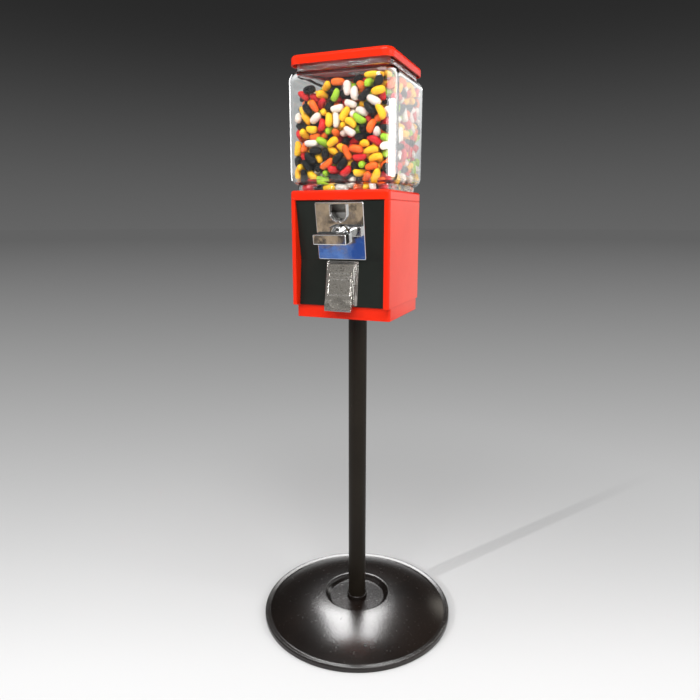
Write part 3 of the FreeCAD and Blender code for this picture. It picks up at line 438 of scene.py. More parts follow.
@dataclass(frozen=True)
class Casting(Finish):
    """Old plated casting, grainy, with edges painted paler, partly worn bright and partly a painted
    highlight, and the hollows of its grain painted darker, partly a dark patina and partly painted shade.
    """

    colour: Colour
    # The darker colour of the grain's hollows: a dark patina and painted shade.
    grime_and_shade: Colour
    roughness: float = 0.16
    grain: float = 0.0007
    # The paler colour of the edges: wear and a painted highlight.
    polish_and_highlight: Colour = (0.86, 0.84, 0.80)
    rounding: float = 0.0008
    rub_and_highlight_width: float = 0.0012
    rubbed_and_highlit: Band = Band(0.03, 0.25)
    graining: Speckle = Speckle(380.0, 5.0, 0.62)
    grained: Band = Band(0.40, 0.56)
    blotching: Speckle = Speckle(110.0, 4.0, 0.6)
    blotched: Band = Band(0.35, 0.6)
    blotch_dulling: float = 0.1
    dirt_and_shade_share: float = 0.8
    dirt_and_shade_dulling: float = 0.3

    def surface(self, g: Graph) -> Socket:
        """Lays out grain, darker hollows of patina and painted shade, and paler edges of wear and painted
        highlight.

        Args:
            g: the material's graph.

        Returns:
            The shader.
        """
        grain = g.noise(self.graining)
        blotch = g.noise(self.blotching)
        # Darker where the grain bump is low, in its hollows: partly a dark patina, partly painted shade.
        dirt_and_shade = (1 - grain.ramp(self.grained)) * blotch.ramp(self.blotched)
        # Edges, raised and hollow alike, turn paler: partly worn bright, partly a painted highlight.
        rubbed_and_highlit = g.mix(g.edge(self.rub_and_highlight_width).ramp(self.rubbed_and_highlit), self.colour, self.polish_and_highlight)
        return g.principled(
            Base_Color=g.mix(dirt_and_shade * self.dirt_and_shade_share, rubbed_and_highlit, self.grime_and_shade),
            Metallic=1.0,
            Roughness=self.roughness + dirt_and_shade * self.dirt_and_shade_dulling + blotch * self.blotch_dulling,
            Normal=g.bump(grain, self.grain, g.rounded(self.rounding)),
        )


@dataclass(frozen=True)
class Brushed(Finish):
    """Plain metal with fine drawn lines and some stains."""

    colour: Colour
    roughness: float = 0.32
    drawing: Speckle = Speckle(1.0, 3.0, 0.6, (30.0, 30.0, 900.0))
    line_depth: float = 0.00003
    line_share: float = 0.2
    line_dulling: float = 0.12
    staining: Speckle = Speckle(24.0, 5.0, 0.6)
    stained: Band = Band(0.4, 0.8)
    stain_share: float = 0.6
    stain_dulling: float = 0.1
    tarnish: float = 0.62

    def surface(self, g: Graph) -> Socket:
        """Lays out drawn lines and stains.

        Args:
            g: the material's graph.

        Returns:
            The shader.
        """
        drawn = g.noise(self.drawing)
        stain = g.noise(self.staining).ramp(self.stained)
        dark = tuple(self.tarnish * part for part in self.colour)
        return g.principled(
            Base_Color=g.mix(stain * self.stain_share + drawn * self.line_share, self.colour, dark),
            Metallic=1.0,
            Roughness=self.roughness + drawn * self.line_dulling + stain * self.stain_dulling,
            Normal=g.bump(drawn, self.line_depth),
        )


@dataclass(frozen=True)
class Moulding(Finish):
    """Moulded plastic or rubber with a faint grain."""

    colour: Colour
    shade: Colour
    roughness: float = 0.45
    grain: float = 0.00005
    graining: Speckle = Speckle(1100.0, 2.0)
    clouding: Speckle = Speckle(30.0, 4.0)
    clouded: Band = Band(0.3, 0.7)
    cloud_dulling: float = 0.12

    def surface(self, g: Graph) -> Socket:
        """Lays out clouds and grain.

        Args:
            g: the material's graph.

        Returns:
            The shader.
        """
        cloud = g.noise(self.clouding)
        return g.principled(
            Base_Color=g.mix(cloud.ramp(self.clouded), self.colour, self.shade),
            Roughness=self.roughness + cloud * self.cloud_dulling,
            Normal=g.bump(g.noise(self.graining), self.grain),
        )


@dataclass(frozen=True)
class JarGlass(Finish):
    """Clear pressed glass, streaky at its foot and neck, which lets light through to the candy."""

    tint: Colour = (0.965, 0.985, 0.98)
    index: float = 1.46
    wave: float = 0.0003
    waviness: Speckle = Speckle(26.0, 2.0)
    foot: Band = Band(0.786, 0.796)
    shoulder: Band = Band(0.938, 0.946, 1.0, 0.0)
    streaking: Speckle = Speckle(1.0, 2.0, 0.5, (30.0, 30.0, 400.0))
    streak_height: float = 3.0
    filming: Speckle = Speckle(48.0, 5.0, 0.65)
    filmed: Band = Band(0.52, 0.8)
    film_dulling: float = 0.05

    def surface(self, g: Graph) -> Socket:
        """Lays out glass with waves, streaks and a thin film, clear to shadow rays.

        Args:
            g: the material's graph.

        Returns:
            The shader.
        """
        height = g.height()
        uneven = 1 - height.ramp(self.foot) * height.ramp(self.shoulder)
        wave = g.noise(self.waviness) + g.noise(self.streaking) * uneven * self.streak_height
        tint = (*self.tint, 1.0)
        glass = g.principled(
            Base_Color=tint,
            Roughness=g.noise(self.filming).ramp(self.filmed) * self.film_dulling,
            IOR=self.index,
            Transmission_Weight=1.0,
            Normal=g.bump(wave, self.wave),
        )
        clear = g.node("ShaderNodeBsdfTransparent", None, {0: tint}).outputs[0]
        return g.either(g.ray("Is Shadow Ray"), glass, clear)


@dataclass(frozen=True)
class SugarShell(Finish):
    """Polished sugar coat of one candy colour, a little mottled and slightly translucent."""

    colour: Colour
    shade: Colour
    glow: float = 0.12
    gloss: float = 0.35
    coat: float = 0.25
    roughness: float = 0.14
    coat_roughness: float = 0.12
    scatter: Triple = (0.004, 0.003, 0.002)
    scatter_scale: float = 0.6
    shading: Speckle = Speckle(34.0, 1.0)
    shaded: Band = Band(0.35, 0.7)
    shade_share: float = 0.8
    mottling: Speckle = Speckle(150.0, 4.0, 0.6)
    mottle_share: float = 0.2
    mottle_dulling: float = 0.14
    mottle_height: float = 0.00025

    def surface(self, g: Graph) -> Socket:
        """Lays out the shell, shaded from bean to bean and mottled on each.

        Args:
            g: the material's graph.

        Returns:
            The shader.
        """
        mottle = g.noise(self.mottling)
        share = g.noise(self.shading).ramp(self.shaded) * self.shade_share + mottle * self.mottle_share
        return g.principled(
            Base_Color=g.mix(share, self.colour, self.shade),
            Roughness=self.roughness + mottle * self.mottle_dulling,
            Specular_IOR_Level=self.gloss,
            Subsurface_Weight=self.glow,
            Subsurface_Radius=self.scatter,
            Subsurface_Scale=self.scatter_scale,
            Coat_Weight=self.coat,
            Coat_Roughness=self.coat_roughness,
            Normal=g.bump(mottle, self.mottle_height),
        )


Coats = tuple[tuple[Finish, tuple[str, ...]], ...]

RED = Enamel("red_enamel", (0.80, 0.021, 0.001), (0.74, 0.016, 0.001), (0.55, 0.20, 0.13),
             roughness=0.26, wear=0.25, gloss=0.25)
BLACK = Enamel("black_enamel", (0.0075, 0.0052, 0.0042), (0.013, 0.0085, 0.0065), (0.10, 0.08, 0.065),
               peel=0.00012, wear=0.6, rounding=0.0025, peeling=Speckle(260.0, 2.0))
POLE = Enamel("pole_enamel", (0.0105, 0.0080, 0.0055), (0.0150, 0.0115, 0.0080), (0.10, 0.08, 0.065),
              roughness=0.3, gloss=0.12)
PANEL = Crackle("black_stipple", (0.0085, 0.0108, 0.0085), (0.013, 0.016, 0.013), gloss=0.18)
CHROME = Plating("chrome", (0.76, 0.76, 0.755))
CAST_CHROME = Plating("cast_chrome", (0.62, 0.60, 0.57), roughness=0.1, smudge=0.12, wave=0.0004,
                      pitting=0.5)
DOOR = Casting("door_casting", (0.46, 0.43, 0.385), (0.10, 0.09, 0.075), roughness=0.2, grain=0.00018)
STEEL = Brushed("bare_steel", (0.50, 0.49, 0.47))
BRASS = Brushed("brass", (0.62, 0.43, 0.17), roughness=0.28)
NYLON = Moulding("nylon", (0.72, 0.69, 0.62), (0.64, 0.61, 0.54))
RUBBER = Moulding("rubber", (0.020, 0.019, 0.018), (0.032, 0.030, 0.028), roughness=0.6)
GLASS = JarGlass("jar_glass")
GLOBE = ("globe",)


class Bean(Enum):
    """The candy's colours, each with its finish and its share of the heap."""

    YELLOW = (SugarShell("beans_yellow", (0.93, 0.52, 0.012), (0.88, 0.40, 0.008)), 0.23)
    BLACK = (SugarShell("beans_black", (0.004, 0.004, 0.005), (0.009, 0.008, 0.008),
                        glow=0.0, gloss=0.2, coat=0.15), 0.24)
    RED = (SugarShell("beans_red", (0.66, 0.012, 0.012), (0.50, 0.006, 0.012)), 0.15)
    ORANGE = (SugarShell("beans_orange", (0.88, 0.15, 0.008), (0.80, 0.10, 0.006)), 0.10)
    WHITE = (SugarShell("beans_white", (0.80, 0.71, 0.62), (0.78, 0.60, 0.55)), 0.18)
    GREEN = (SugarShell("beans_green", (0.36, 0.56, 0.025), (0.26, 0.46, 0.02)), 0.10)

    @property
    def finish(self) -> SugarShell:
        """The colour's finish."""
        return self.value[0]

    @property
    def share(self) -> float:
        """The colour's share of the heap."""
        return self.value[1]


class Paintbox:
    """Makes each finish's material once and hands it out."""

    def __init__(self) -> None:
        """Starts empty."""
        self.made: dict[str, bpy.types.Material] = {}

    def get(self, finish: Finish) -> bpy.types.Material:
        """Hands out a finish's material, which is made at first use.

        Args:
            finish: the finish.

        Returns:
            Its material.
        """
        if finish.label not in self.made:
            self.made[finish.label] = finish.material()
        return self.made[finish.label]


@dataclass
class Assembly:
    """A sub-assembly, with the CAD nodes that wear each of its finishes."""

    coats: Coats = ()

    def dress(self, nodes: Nodes, paint: Paintbox) -> None:
        """Gives every node its finish.

        Args:
            nodes: the frame's nodes.
            paint: hands out the materials.
        """
        for finish, names in self.coats:
            for name in names:
                worn = nodes[name].data.materials
                worn.clear()
                worn.append(paint.get(finish))
                LOG.info("dressed %s with %s", name, finish.label)


@dataclass
class Pedestal(Assembly):
    """The round base, the pole and what joins them."""

    coats: Coats = (
        (BLACK, ("stand_base", "pole_foot_collar")),
        (POLE, ("pole", "pole_flange")),
        (STEEL, ("base_lock_nut", "flange_bolts", "flange_nuts")),
    )


@dataclass
class Cabinet(Assembly):
    """The red body, its black front and the coin box inside."""

    coats: Coats = (
        (RED, ("base_pan", "cabinet_shell", "top_tray")),
        (PANEL, ("front_panel",)),
        (STEEL, ("panel_rivets", "coin_box")),
    )


@dataclass
class CoinMechanism(Assembly):
    """The bright plate and handle, and the works behind them."""

    coats: Coats = (
        (CHROME, ("coin_plate", "coin_guard", "handle")),
        (STEEL, ("handle_pin", "handle_shaft", "coin_carrier", "ratchet_wheel", "ratchet_pawl", "pawl_pin",
                 "pawl_spring", "mech_frame", "mech_nuts", "pinion_pin")),
        (BRASS, ("front_bush", "rear_bush", "drive_pinion")),
    )


@dataclass
class Chute(Assembly):
    """The chute's frame and door, and the slide behind them."""

    coats: Coats = (
        (CAST_CHROME, ("chute_frame",)),
        (DOOR, ("chute_door",)),
        (STEEL, ("chute_nuts", "door_hinge_pin", "inner_chute")),
    )


@dataclass
class FeedTrain(Assembly):
    """The hopper, the dispensing wheel and their small parts."""

    coats: Coats = (
        (NYLON, ("hopper", "dispensing_wheel", "crown_gear")),
        (STEEL, ("thrust_washer", "agitator", "wiper_plate", "wiper_rivets", "centre_rod", "rod_nut")),
        (BRASS, ("wheel_bush",)),
    )


@dataclass
class GlobeTop(Assembly):
    """The glass globe, its gaskets, the lid and the lock."""

    coats: Coats = (
        (GLASS, GLOBE),
        (RUBBER, ("lower_gasket", "upper_gasket")),
        (RED, ("lid",)),
        (CHROME, ("lock_barrel", "lock_plug")),
        (STEEL, ("lock_nut",)),
    )


def made_mesh(name: str, shape: bmesh.types.BMesh) -> bpy.types.Mesh:
    """Turns a bmesh into a mesh.

    Args:
        name: the mesh's name.
        shape: the bmesh, which is freed.

    Returns:
        The mesh.
    """
    mesh = bpy.data.meshes.new(name)
    shape.to_mesh(mesh)
    shape.free()
    return mesh


def placed(name: str, data: bpy.types.ID) -> bpy.types.Object:
    """Puts data into the scene.

    Args:
        name: the object's name.
        data: its mesh, lamp or camera.

    Returns:
        The object.
    """
    item = bpy.data.objects.new(name, data)
    bpy.context.scene.collection.objects.link(item)
    return item


@dataclass
class CandyHeap:
    """Jelly beans settled in the globe; sizes in millimetres.

    While it settles, a bean is three balls in a row. The globe is a square body with round corners between
    two necks, over a hopper whose floor rises to a ledge, with a stirred space and a rod in its middle.
    """

    count: int = 1480
    half_length: float = 10.9
    thickness: float = 6.0
    facets: int = 8
    bend: float = 0.018
    bend_middle: float = 0.4
    roundness: float = 0.74
    taper: float = 0.09
    lengths: Pair = (0.88, 1.10)
    widths: Pair = (0.92, 1.05)
    end_slimness: float = 0.4
    offset: float = 4.8
    lying: Triple = (1.0, 1.0, 0.6)
    seed: int = 11
    tries: int = 4
    rounds: int = 220
    quick_share: int = 4
    rounds_per_search: int = 5
    search_margin: float = 3.0
    push_share: float = 0.5
    eagerness: float = 1.25
    sinking: float = 0.12
    sink_span: Pair = (0.6, 0.9)
    neck: float = 72.5
    neck_corner: float = 13.0
    body: float = 82.5
    body_corner: float = 20.0
    least_corner: float = 1.0
    body_span: Pair = (785.0, 942.0)
    shoulder: float = 10.0
    clearance: float = 0.5
    floor: float = 757.0
    ledge: float = 770.0
    cone_radius: float = 60.0
    cone_run: float = 6.0
    stirred_radius: float = 33.5
    stirred_top: float = 778.0
    rod_radius: float = 6.0
    level: float = 936.0
    slope: float = 0.17
    headroom: float = 20.0
    top_share: float = 0.4
    radii: np.ndarray = field(init=False)

    def __post_init__(self) -> None:
        """Works out the radii of the three balls that stand in for a bean."""
        slim = self.thickness - self.end_slimness
        self.radii = np.array((slim, self.thickness, slim))

    def half_width(self, height: np.ndarray) -> np.ndarray:
        """The globe's inner half-width.

        Args:
            height: the heights to look at.

        Returns:
            The half-width at each of them.
        """
        low, high = self.body_span
        into = np.minimum(height - low, high - height)
        away = np.clip(self.shoulder - into, 0.0, self.shoulder)
        swell = (self.body - self.neck) * np.sqrt(np.maximum(0.0, 1.0 - (away / self.shoulder) ** 2))
        return np.where(into > 0.0, self.neck + swell, self.neck)

    def top(self, points: np.ndarray) -> np.ndarray:
        """The heap's upper limit over each point."""
        return self.level + self.slope * points[:, 0]

    def keep_in_walls(self, points: np.ndarray, room: np.ndarray) -> None:
        """Pushes balls out of the globe's walls and round corners.

        Args:
            points: the balls' centres, changed in place.
            room: how far each has to stay from the glass.
        """
        half = self.half_width(points[:, 2]) - room
        in_body = (points[:, 2] > self.body_span[0]) & (points[:, 2] < self.body_span[1])
        corner = np.where(in_body, self.body_corner, self.neck_corner) - room
        corner = np.maximum(corner, self.least_corner)
        core = half - corner
        for _ in range(2):
            over = np.maximum(np.abs(points[:, :2]) - core[:, None], 0.0)
            reach = np.linalg.norm(over, axis=1)
            shrink = np.where(reach > corner, corner / np.maximum(reach, TINY), 1.0)
            inside = np.where(over > 0.0, core[:, None] + over * shrink[:, None], np.abs(points[:, :2]))
            points[:, :2] = np.sign(points[:, :2]) * inside

    def keep_inside(self, points: np.ndarray, radii: np.ndarray) -> None:
        """Pushes balls out of the walls, the floor, the stirred space, the rod and the heap's upper limit.

        Args:
            points: the balls' centres, changed in place.
            radii: their radii.
        """
        room = radii + self.clearance
        self.keep_in_walls(points, room)
        radius = np.maximum(np.hypot(points[:, 0], points[:, 1]), TINY)
        rise = np.clip((radius - self.cone_radius + radii) / self.cone_run, 0.0, 1.0)
        points[:, 2] = np.maximum(points[:, 2], self.floor + (self.ledge - self.floor) * rise + room)
        points[:, 2] = np.minimum(points[:, 2], self.top(points) - self.top_share * radii)
        stirred = (radius < self.stirred_radius + radii) & (points[:, 2] < self.stirred_top + radii)
        lift = stirred & (points[:, 2] > self.ledge)
        points[lift, 2] = (self.stirred_top + radii)[lift]
        limit = np.where(stirred & ~lift, self.stirred_radius, self.rod_radius) + radii
        push = np.maximum(limit / radius, 1.0)
        points[:, :2] *= push[:, None]

    def start(self, draw: np.random.Generator) -> tuple[np.ndarray, np.ndarray]:
        """Scatters the beans through the heap.

        Args:
            draw: the seeded generator.

        Returns:
            Centres and unit axes.
        """
        low = np.array((-self.body, -self.body, self.floor))
        high = np.array((self.body, self.body, self.level + self.headroom))
        centres = np.empty((0, 3))
        while len(centres) < self.count:
            tries = draw.uniform(low, high, (self.tries * self.count, 3))
            moved = tries.copy()
            self.keep_inside(moved, np.full(len(tries), self.thickness))
            centres = np.vstack((centres, tries[np.linalg.norm(moved - tries, axis=1) < TINY]))
        axes = draw.normal(size=(self.count, 3)) * self.lying
        return centres[:self.count], axes / np.linalg.norm(axes, axis=1)[:, None]

    def near_pairs(self, points: np.ndarray, reach: float) -> tuple[np.ndarray, np.ndarray]:
        """Finds balls of different beans that are close together.

        Args:
            points: the balls' centres, three for each bean.
            reach: the distance that counts as close.

        Returns:
            The first and the second ball of each pair.
        """
        flat = points.astype(np.float32)
        square = (flat * flat).sum(1)
        apart = square[:, None] + square[None, :] - 2.0 * flat @ flat.T
        first, second = np.nonzero(apart < reach * reach)
        keep = first // 3 < second // 3
        return first[keep], second[keep]

    def press_apart(self, points: np.ndarray, radii: np.ndarray, first: np.ndarray,
                    second: np.ndarray) -> None:
        """Moves balls that overlap away from each other.

        Args:
            points: the balls' centres, changed in place.
            radii: their radii.
            first: the first ball of each near pair.
            second: the second ball of each near pair.
        """
        gap = points[first] - points[second]
        length = np.maximum(np.linalg.norm(gap, axis=1), TINY)
        deep = np.maximum(radii[first] + radii[second] - length, 0.0)
        hit = deep > 0.0
        one, two = first[hit], second[hit]
        push = gap[hit] * (self.push_share * deep[hit] / length[hit])[:, None]
        crowd = np.bincount(one, minlength=len(points)) + np.bincount(two, minlength=len(points))
        for axis in range(3):
            shift = np.bincount(one, push[:, axis], len(points))
            shift -= np.bincount(two, push[:, axis], len(points))
            points[:, axis] += self.eagerness * shift / np.maximum(crowd, 1)

    def settle(self) -> tuple[np.ndarray, np.ndarray]:
        """Presses overlapping beans apart until the heap is tight, and lets them sink for some rounds.

        Returns:
            Centres and unit axes, in millimetres.
        """
        centres, axes = self.start(np.random.default_rng(self.seed))
        radii = np.tile(self.radii, self.count)
        along = np.array((-self.offset, 0.0, self.offset))
        total = self.rounds
        sink_from, sink_to = (share * total for share in self.sink_span)
        first = second = np.empty(0, int)
        for turn in range(total):
            points = (centres[:, None, :] + along[None, :, None] * axes[:, None, :]).reshape(-1, 3)
            points[:, 2] -= self.sinking if sink_from < turn < sink_to else 0.0
            if turn % self.rounds_per_search == 0:
                first, second = self.near_pairs(points, 2.0 * self.thickness + self.search_margin)
            self.press_apart(points, radii, first, second)
            self.keep_inside(points, radii)
            balls = points.reshape(-1, 3, 3)
            centres = balls.mean(axis=1)
            axes = balls[:, 2] - balls[:, 0] + TINY * axes
            axes /= np.linalg.norm(axes, axis=1)[:, None]
        return centres, axes

    def bean_mesh(self) -> bpy.types.Mesh:
        """Makes one bent bean along X.

        Returns:
            Its mesh, in metres.
        """
        shape = bmesh.new()
        bmesh.ops.create_uvsphere(shape, u_segments=self.facets, v_segments=self.facets, radius=1.0)
        turn = Matrix.Rotation(math.pi / 2, 3, "Y")
        bmesh.ops.rotate(shape, verts=shape.verts, cent=(0, 0, 0), matrix=turn)
        middle = self.bend_middle * self.half_length ** 2
        for vert in shape.verts:
            x, y, z = vert.co
            fuller = self.thickness * max(math.hypot(y, z), TINY) ** (self.roundness - 1.0)
            fuller *= 1.0 - self.taper * x
            reach = self.half_length * math.copysign(abs(x) ** self.roundness, x)
            vert.co = (reach, fuller * y, fuller * z + self.bend * (reach ** 2 - middle))
        bmesh.ops.scale(shape, verts=shape.verts, vec=(MM, MM, MM))
        return made_mesh("bean", shape)

    def add_piece(self, finish: SugarShell, shape: bmesh.types.BMesh, paint: Paintbox) -> None:
        """Makes the piece of one colour, which rides on the machine in place of the plain heap.

        Args:
            finish: the colour's finish.
            shape: all beans of that colour, in metres and in place; it is freed.
            paint: hands out the material.
        """
        mesh = made_mesh(finish.label, shape)
        mesh.shade_smooth()
        mesh.materials.append(paint.get(finish))
        piece = placed(finish.label, mesh)
        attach(piece, "machine")
        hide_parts("jelly_beans")
        LOG.info("built %s: %d faces", finish.label, len(mesh.polygons))

    def build(self, paint: Paintbox) -> None:
        """Settles the heap and makes one piece for each colour.

        Args:
            paint: hands out the materials.
        """
        centres, axes = self.settle()
        draw = np.random.default_rng(self.seed + 1)
        rolls = draw.uniform(0.0, 2.0 * math.pi, self.count)
        lengths = draw.uniform(*self.lengths, self.count)
        widths = draw.uniform(*self.widths, self.count)
        picks = draw.choice(len(Bean), self.count, p=[bean.share for bean in Bean])
        template = self.bean_mesh()
        for index, bean in enumerate(Bean):
            shape = bmesh.new()
            for k in np.flatnonzero(picks == index):
                turn = Vector(axes[k]).to_track_quat("X", "Z").to_matrix().to_4x4()
                place = Matrix.Translation(Vector(centres[k]) * MM) @ turn
                place = place @ Matrix.Rotation(rolls[k], 4, "X")
                place = place @ Matrix.Diagonal((lengths[k], widths[k], widths[k], 1.0))
                copy = template.copy()
                copy.transform(place)
                shape.from_mesh(copy)
                bpy.data.meshes.remove(copy)
            self.add_piece(bean.finish, shape, paint)
        bpy.data.meshes.remove(template)


class Reach(Enum):
    """What a studio light is for."""

    ALL = "light and reflection"
    LIGHT = "light alone"
    MIRRORED = "reflection alone"


def limit_light(light: bpy.types.Object, lit: Sequence[bpy.types.Object]) -> None:
    """Lets a light reach some objects alone.

    Args:
        light: the light.
        lit: the objects, or none where the light reaches everything.
    """
    if lit:
        receivers = bpy.data.collections.new(light.name)
        for piece in lit:
            receivers.objects.link(piece)
        light.light_linking.receiver_collection = receivers


@dataclass(frozen=True)
class Softbox:
    """A square or oblong studio light that faces a point of the machine, in metres and watts."""

    name: str
    direction: Triple
    distance: float
    size: Pair
    power: float
    target: Triple = (0.0, 0.0, 0.75)
    colour: Colour = (1.0, 1.0, 1.0)
    reach: Reach = Reach.ALL
    shown_by: tuple[str, ...] = ()

    def build(self, nodes: Nodes) -> None:
        """Makes the light; where nodes are named to show it, it reaches these alone.

        Args:
            nodes: the frame's nodes.
        """
        lamp = bpy.data.lights.new(self.name, "AREA")
        lamp.shape = "RECTANGLE"
        lamp.size, lamp.size_y = self.size
        lamp.energy = self.power
        lamp.color = self.colour
        light = placed(self.name, lamp)
        towards = Vector(self.direction).normalized()
        light.location = Vector(self.target) + towards * self.distance
        light.rotation_euler = towards.to_track_quat("Z", "Y").to_euler()
        light.visible_camera = False
        light.visible_transmission = False
        light.visible_diffuse = self.reach is not Reach.MIRRORED
        light.visible_glossy = self.reach is not Reach.LIGHT
        limit_light(light, [nodes[name] for name in self.shown_by])


@dataclass(frozen=True)
class Glint(Softbox):
    """A light that shows only as a reflection."""

    reach: Reach = Reach.MIRRORED


@dataclass(frozen=True)
class LowSun:
    """A faint low light that gives the pole its slanting shadow."""

    name: str
    power: float
    direction: Triple = (-0.494, -0.760, 0.423)
    spread: float = math.radians(0.8)

    def build(self, lit: Sequence[bpy.types.Object] = ()) -> None:
        """Makes the light.

        Args:
            lit: the objects that it reaches, or none for all.
        """
        lamp = bpy.data.lights.new(self.name, "SUN")
        lamp.energy = self.power
        lamp.angle = self.spread
        light = placed(self.name, lamp)
        light.rotation_euler = Vector(self.direction).to_track_quat("Z", "Y").to_euler()
        light.visible_glossy = light.visible_transmission = False
        limit_light(light, lit)


@dataclass(frozen=True)
class Eye:
    """The camera, at the photograph's viewing angle; it looks at the machine's axis, a little aside."""

    azimuth: float = math.radians(21.88)
    elevation: float = math.radians(12.47)
    distance: float = 1.0453
    aside: float = -0.01333
    height: float = 0.5054
    focal_pixels: float = 600.0
    image_width: float = 700.0
    sensor: float = 36.0
    clip: Pair = (0.01, 200.0)

    def build(self) -> None:
        """Makes the camera and gives it to the scene."""
        az, el = self.azimuth, self.elevation
        back = Vector((math.sin(az) * math.cos(el), -math.cos(az) * math.cos(el), math.sin(el)))
        right = Vector((math.cos(az), math.sin(az), 0.0))
        lens = bpy.data.cameras.new("camera")
        lens.sensor_width = self.sensor
        lens.lens = self.sensor * self.focal_pixels / self.image_width
        lens.clip_start, lens.clip_end = self.clip
        camera = placed("camera", lens)
        camera.location = Vector((0.0, 0.0, self.height)) + right * self.aside + back * self.distance
        camera.rotation_euler = back.to_track_quat("Z", "Y").to_euler()
        bpy.context.scene.camera = camera


@dataclass(frozen=True)
class PaleFloor:
    """A pale floor that darkens with distance and keeps the machine's shadow."""

    facing: float
    radius: float = 40.0
    segments: int = 96
    reach: float = 1.02
    nearest: float = 0.5
    slope: float = 0.715
    base: float = 0.088
    darkest: float = 0.122
    palest: float = 0.93
    pale_softness: float = 0.12
    round_radius: float = 1.5
    round_softness: float = 0.8
    light: float = 1.255
    lean: Triple = (0.214, -0.101, 0.0)
    shadow_end: Band = Band(0.4, 1.15)

    def tone(self, g: Graph, radius: Val) -> Val:
        """The floor's grey, which fades with the distance ahead and, to the eye, on all sides.

        Args:
            g: the floor's graph.
            radius: the distance from the machine.

        Returns:
            The grey.
        """
        ahead = g.dot(g.coordinates, (-math.sin(self.facing), math.cos(self.facing), 0.0))
        all_round = ahead.math("SMOOTH_MAX", radius - self.round_radius, self.round_softness)
        away = ahead + g.ray("Is Camera Ray") * (all_round - ahead)
        grey = self.slope / (away + self.reach).math("MAXIMUM", self.nearest) + self.base
        return grey.math("MAXIMUM", self.darkest).math("SMOOTH_MIN", self.palest, self.pale_softness)

    def paper(self) -> bpy.types.Material:
        """Makes the floor's material: lit near the machine, a plain tone farther out.

        Returns:
            The material.
        """
        g = Graph(bpy.data.materials.new("floor"))
        radius = g.value("ShaderNodeVectorMath", {"operation": "LENGTH"}, {0: g.coordinates}, "Value")
        grey = self.tone(g, radius)
        matt = g.grey(grey / (g.dot(g.coordinates, self.lean) + self.light))
        lit = g.node("ShaderNodeBsdfDiffuse", None, {"Color": matt}).outputs[0]
        seen = g.ray("Is Camera Ray").math("MAXIMUM", g.ray("Is Glossy Ray"))
        seen = seen.math("MAXIMUM", g.ray("Is Transmission Ray"))
        return g.finish(g.either(seen * radius.ramp(self.shadow_end), lit, g.glowing(g.grey(grey))))

    def build(self) -> bpy.types.Object:
        """Makes the floor.

        Returns:
            The floor.
        """
        shape = bmesh.new()
        bmesh.ops.create_circle(shape, cap_ends=True, segments=self.segments, radius=self.radius)
        mesh = made_mesh("floor", shape)
        mesh.materials.append(self.paper())
        ground = placed("floor", mesh)
        return ground


@dataclass(frozen=True)
class ReflectedCard:
    """A card, warm above and blue below, that only the bright metal shows."""

    place: Triple = (-0.62, -1.46, 0.215)
    size: Pair = (0.8, 0.42)
    clouding: Speckle = Speckle(15.0, 4.0)
    warm: tuple[Colour, Colour] = ((0.085, 0.072, 0.062), (0.50, 0.38, 0.26))
    warmed: Band = Band(0.45, 0.55)
    cool: tuple[Colour, Colour] = ((0.035, 0.10, 0.38), (0.14, 0.28, 0.68))
    cooled: Band = Band(0.4, 0.6)
    gap: Colour = (0.02, 0.018, 0.016)
    gap_side: Band = Band(0.045, 0.06)
    gap_bottom: Band = Band(0.166, 0.174)
    gap_top: Band = Band(0.196, 0.212, 1.0, 0.0)
    edge: Band = Band(0.139, 0.147)
    edge_ripple: float = 0.02
    step: float = 0.032
    step_side: Band = Band(0.056, 0.066)

    def face(self, inward: Vector) -> bpy.types.Material:
        """Makes the card's glowing colours.

        Args:
            inward: the level direction from the card to the machine.

        Returns:
            The material.
        """
        g = Graph(bpy.data.materials.new("reflected_card"))
        height = g.height()
        level = inward.normalized().cross((0.0, 0.0, 1.0))
        side = g.dot(g.coordinates, level) - level.dot(self.place)
        cloud = g.noise(self.clouding)
        gap = side.ramp(self.gap_side) * height.ramp(self.gap_bottom) * height.ramp(self.gap_top)
        warm = g.mix(gap, g.mix(cloud.ramp(self.warmed), *self.warm), self.gap)
        cool = g.mix(cloud.ramp(self.cooled), *self.cool)
        edge = height - side.ramp(self.step_side) * self.step + cloud * self.edge_ripple
        return g.finish(g.glowing(g.mix(edge.ramp(self.edge), cool, warm)))

    def build(self) -> None:
        """Makes the card, upright and turned to the machine."""
        inward = Vector((-self.place[0], -self.place[1], 0.0))
        turn = inward.to_track_quat("Z", "Y").to_matrix().to_4x4()
        size = Matrix.Diagonal((*self.size, 1.0, 1.0))
        shape = bmesh.new()
        bmesh.ops.create_grid(shape, x_segments=1, y_segments=1, size=0.5)
        bmesh.ops.transform(shape, verts=shape.verts, matrix=Matrix.Translation(self.place) @ turn @ size)
        mesh = made_mesh("reflected_card", shape)
        mesh.materials.append(self.face(inward))
        board = placed("reflected_card", mesh)
        board.visible_camera = board.visible_diffuse = False
        board.visible_transmission = board.visible_shadow = False


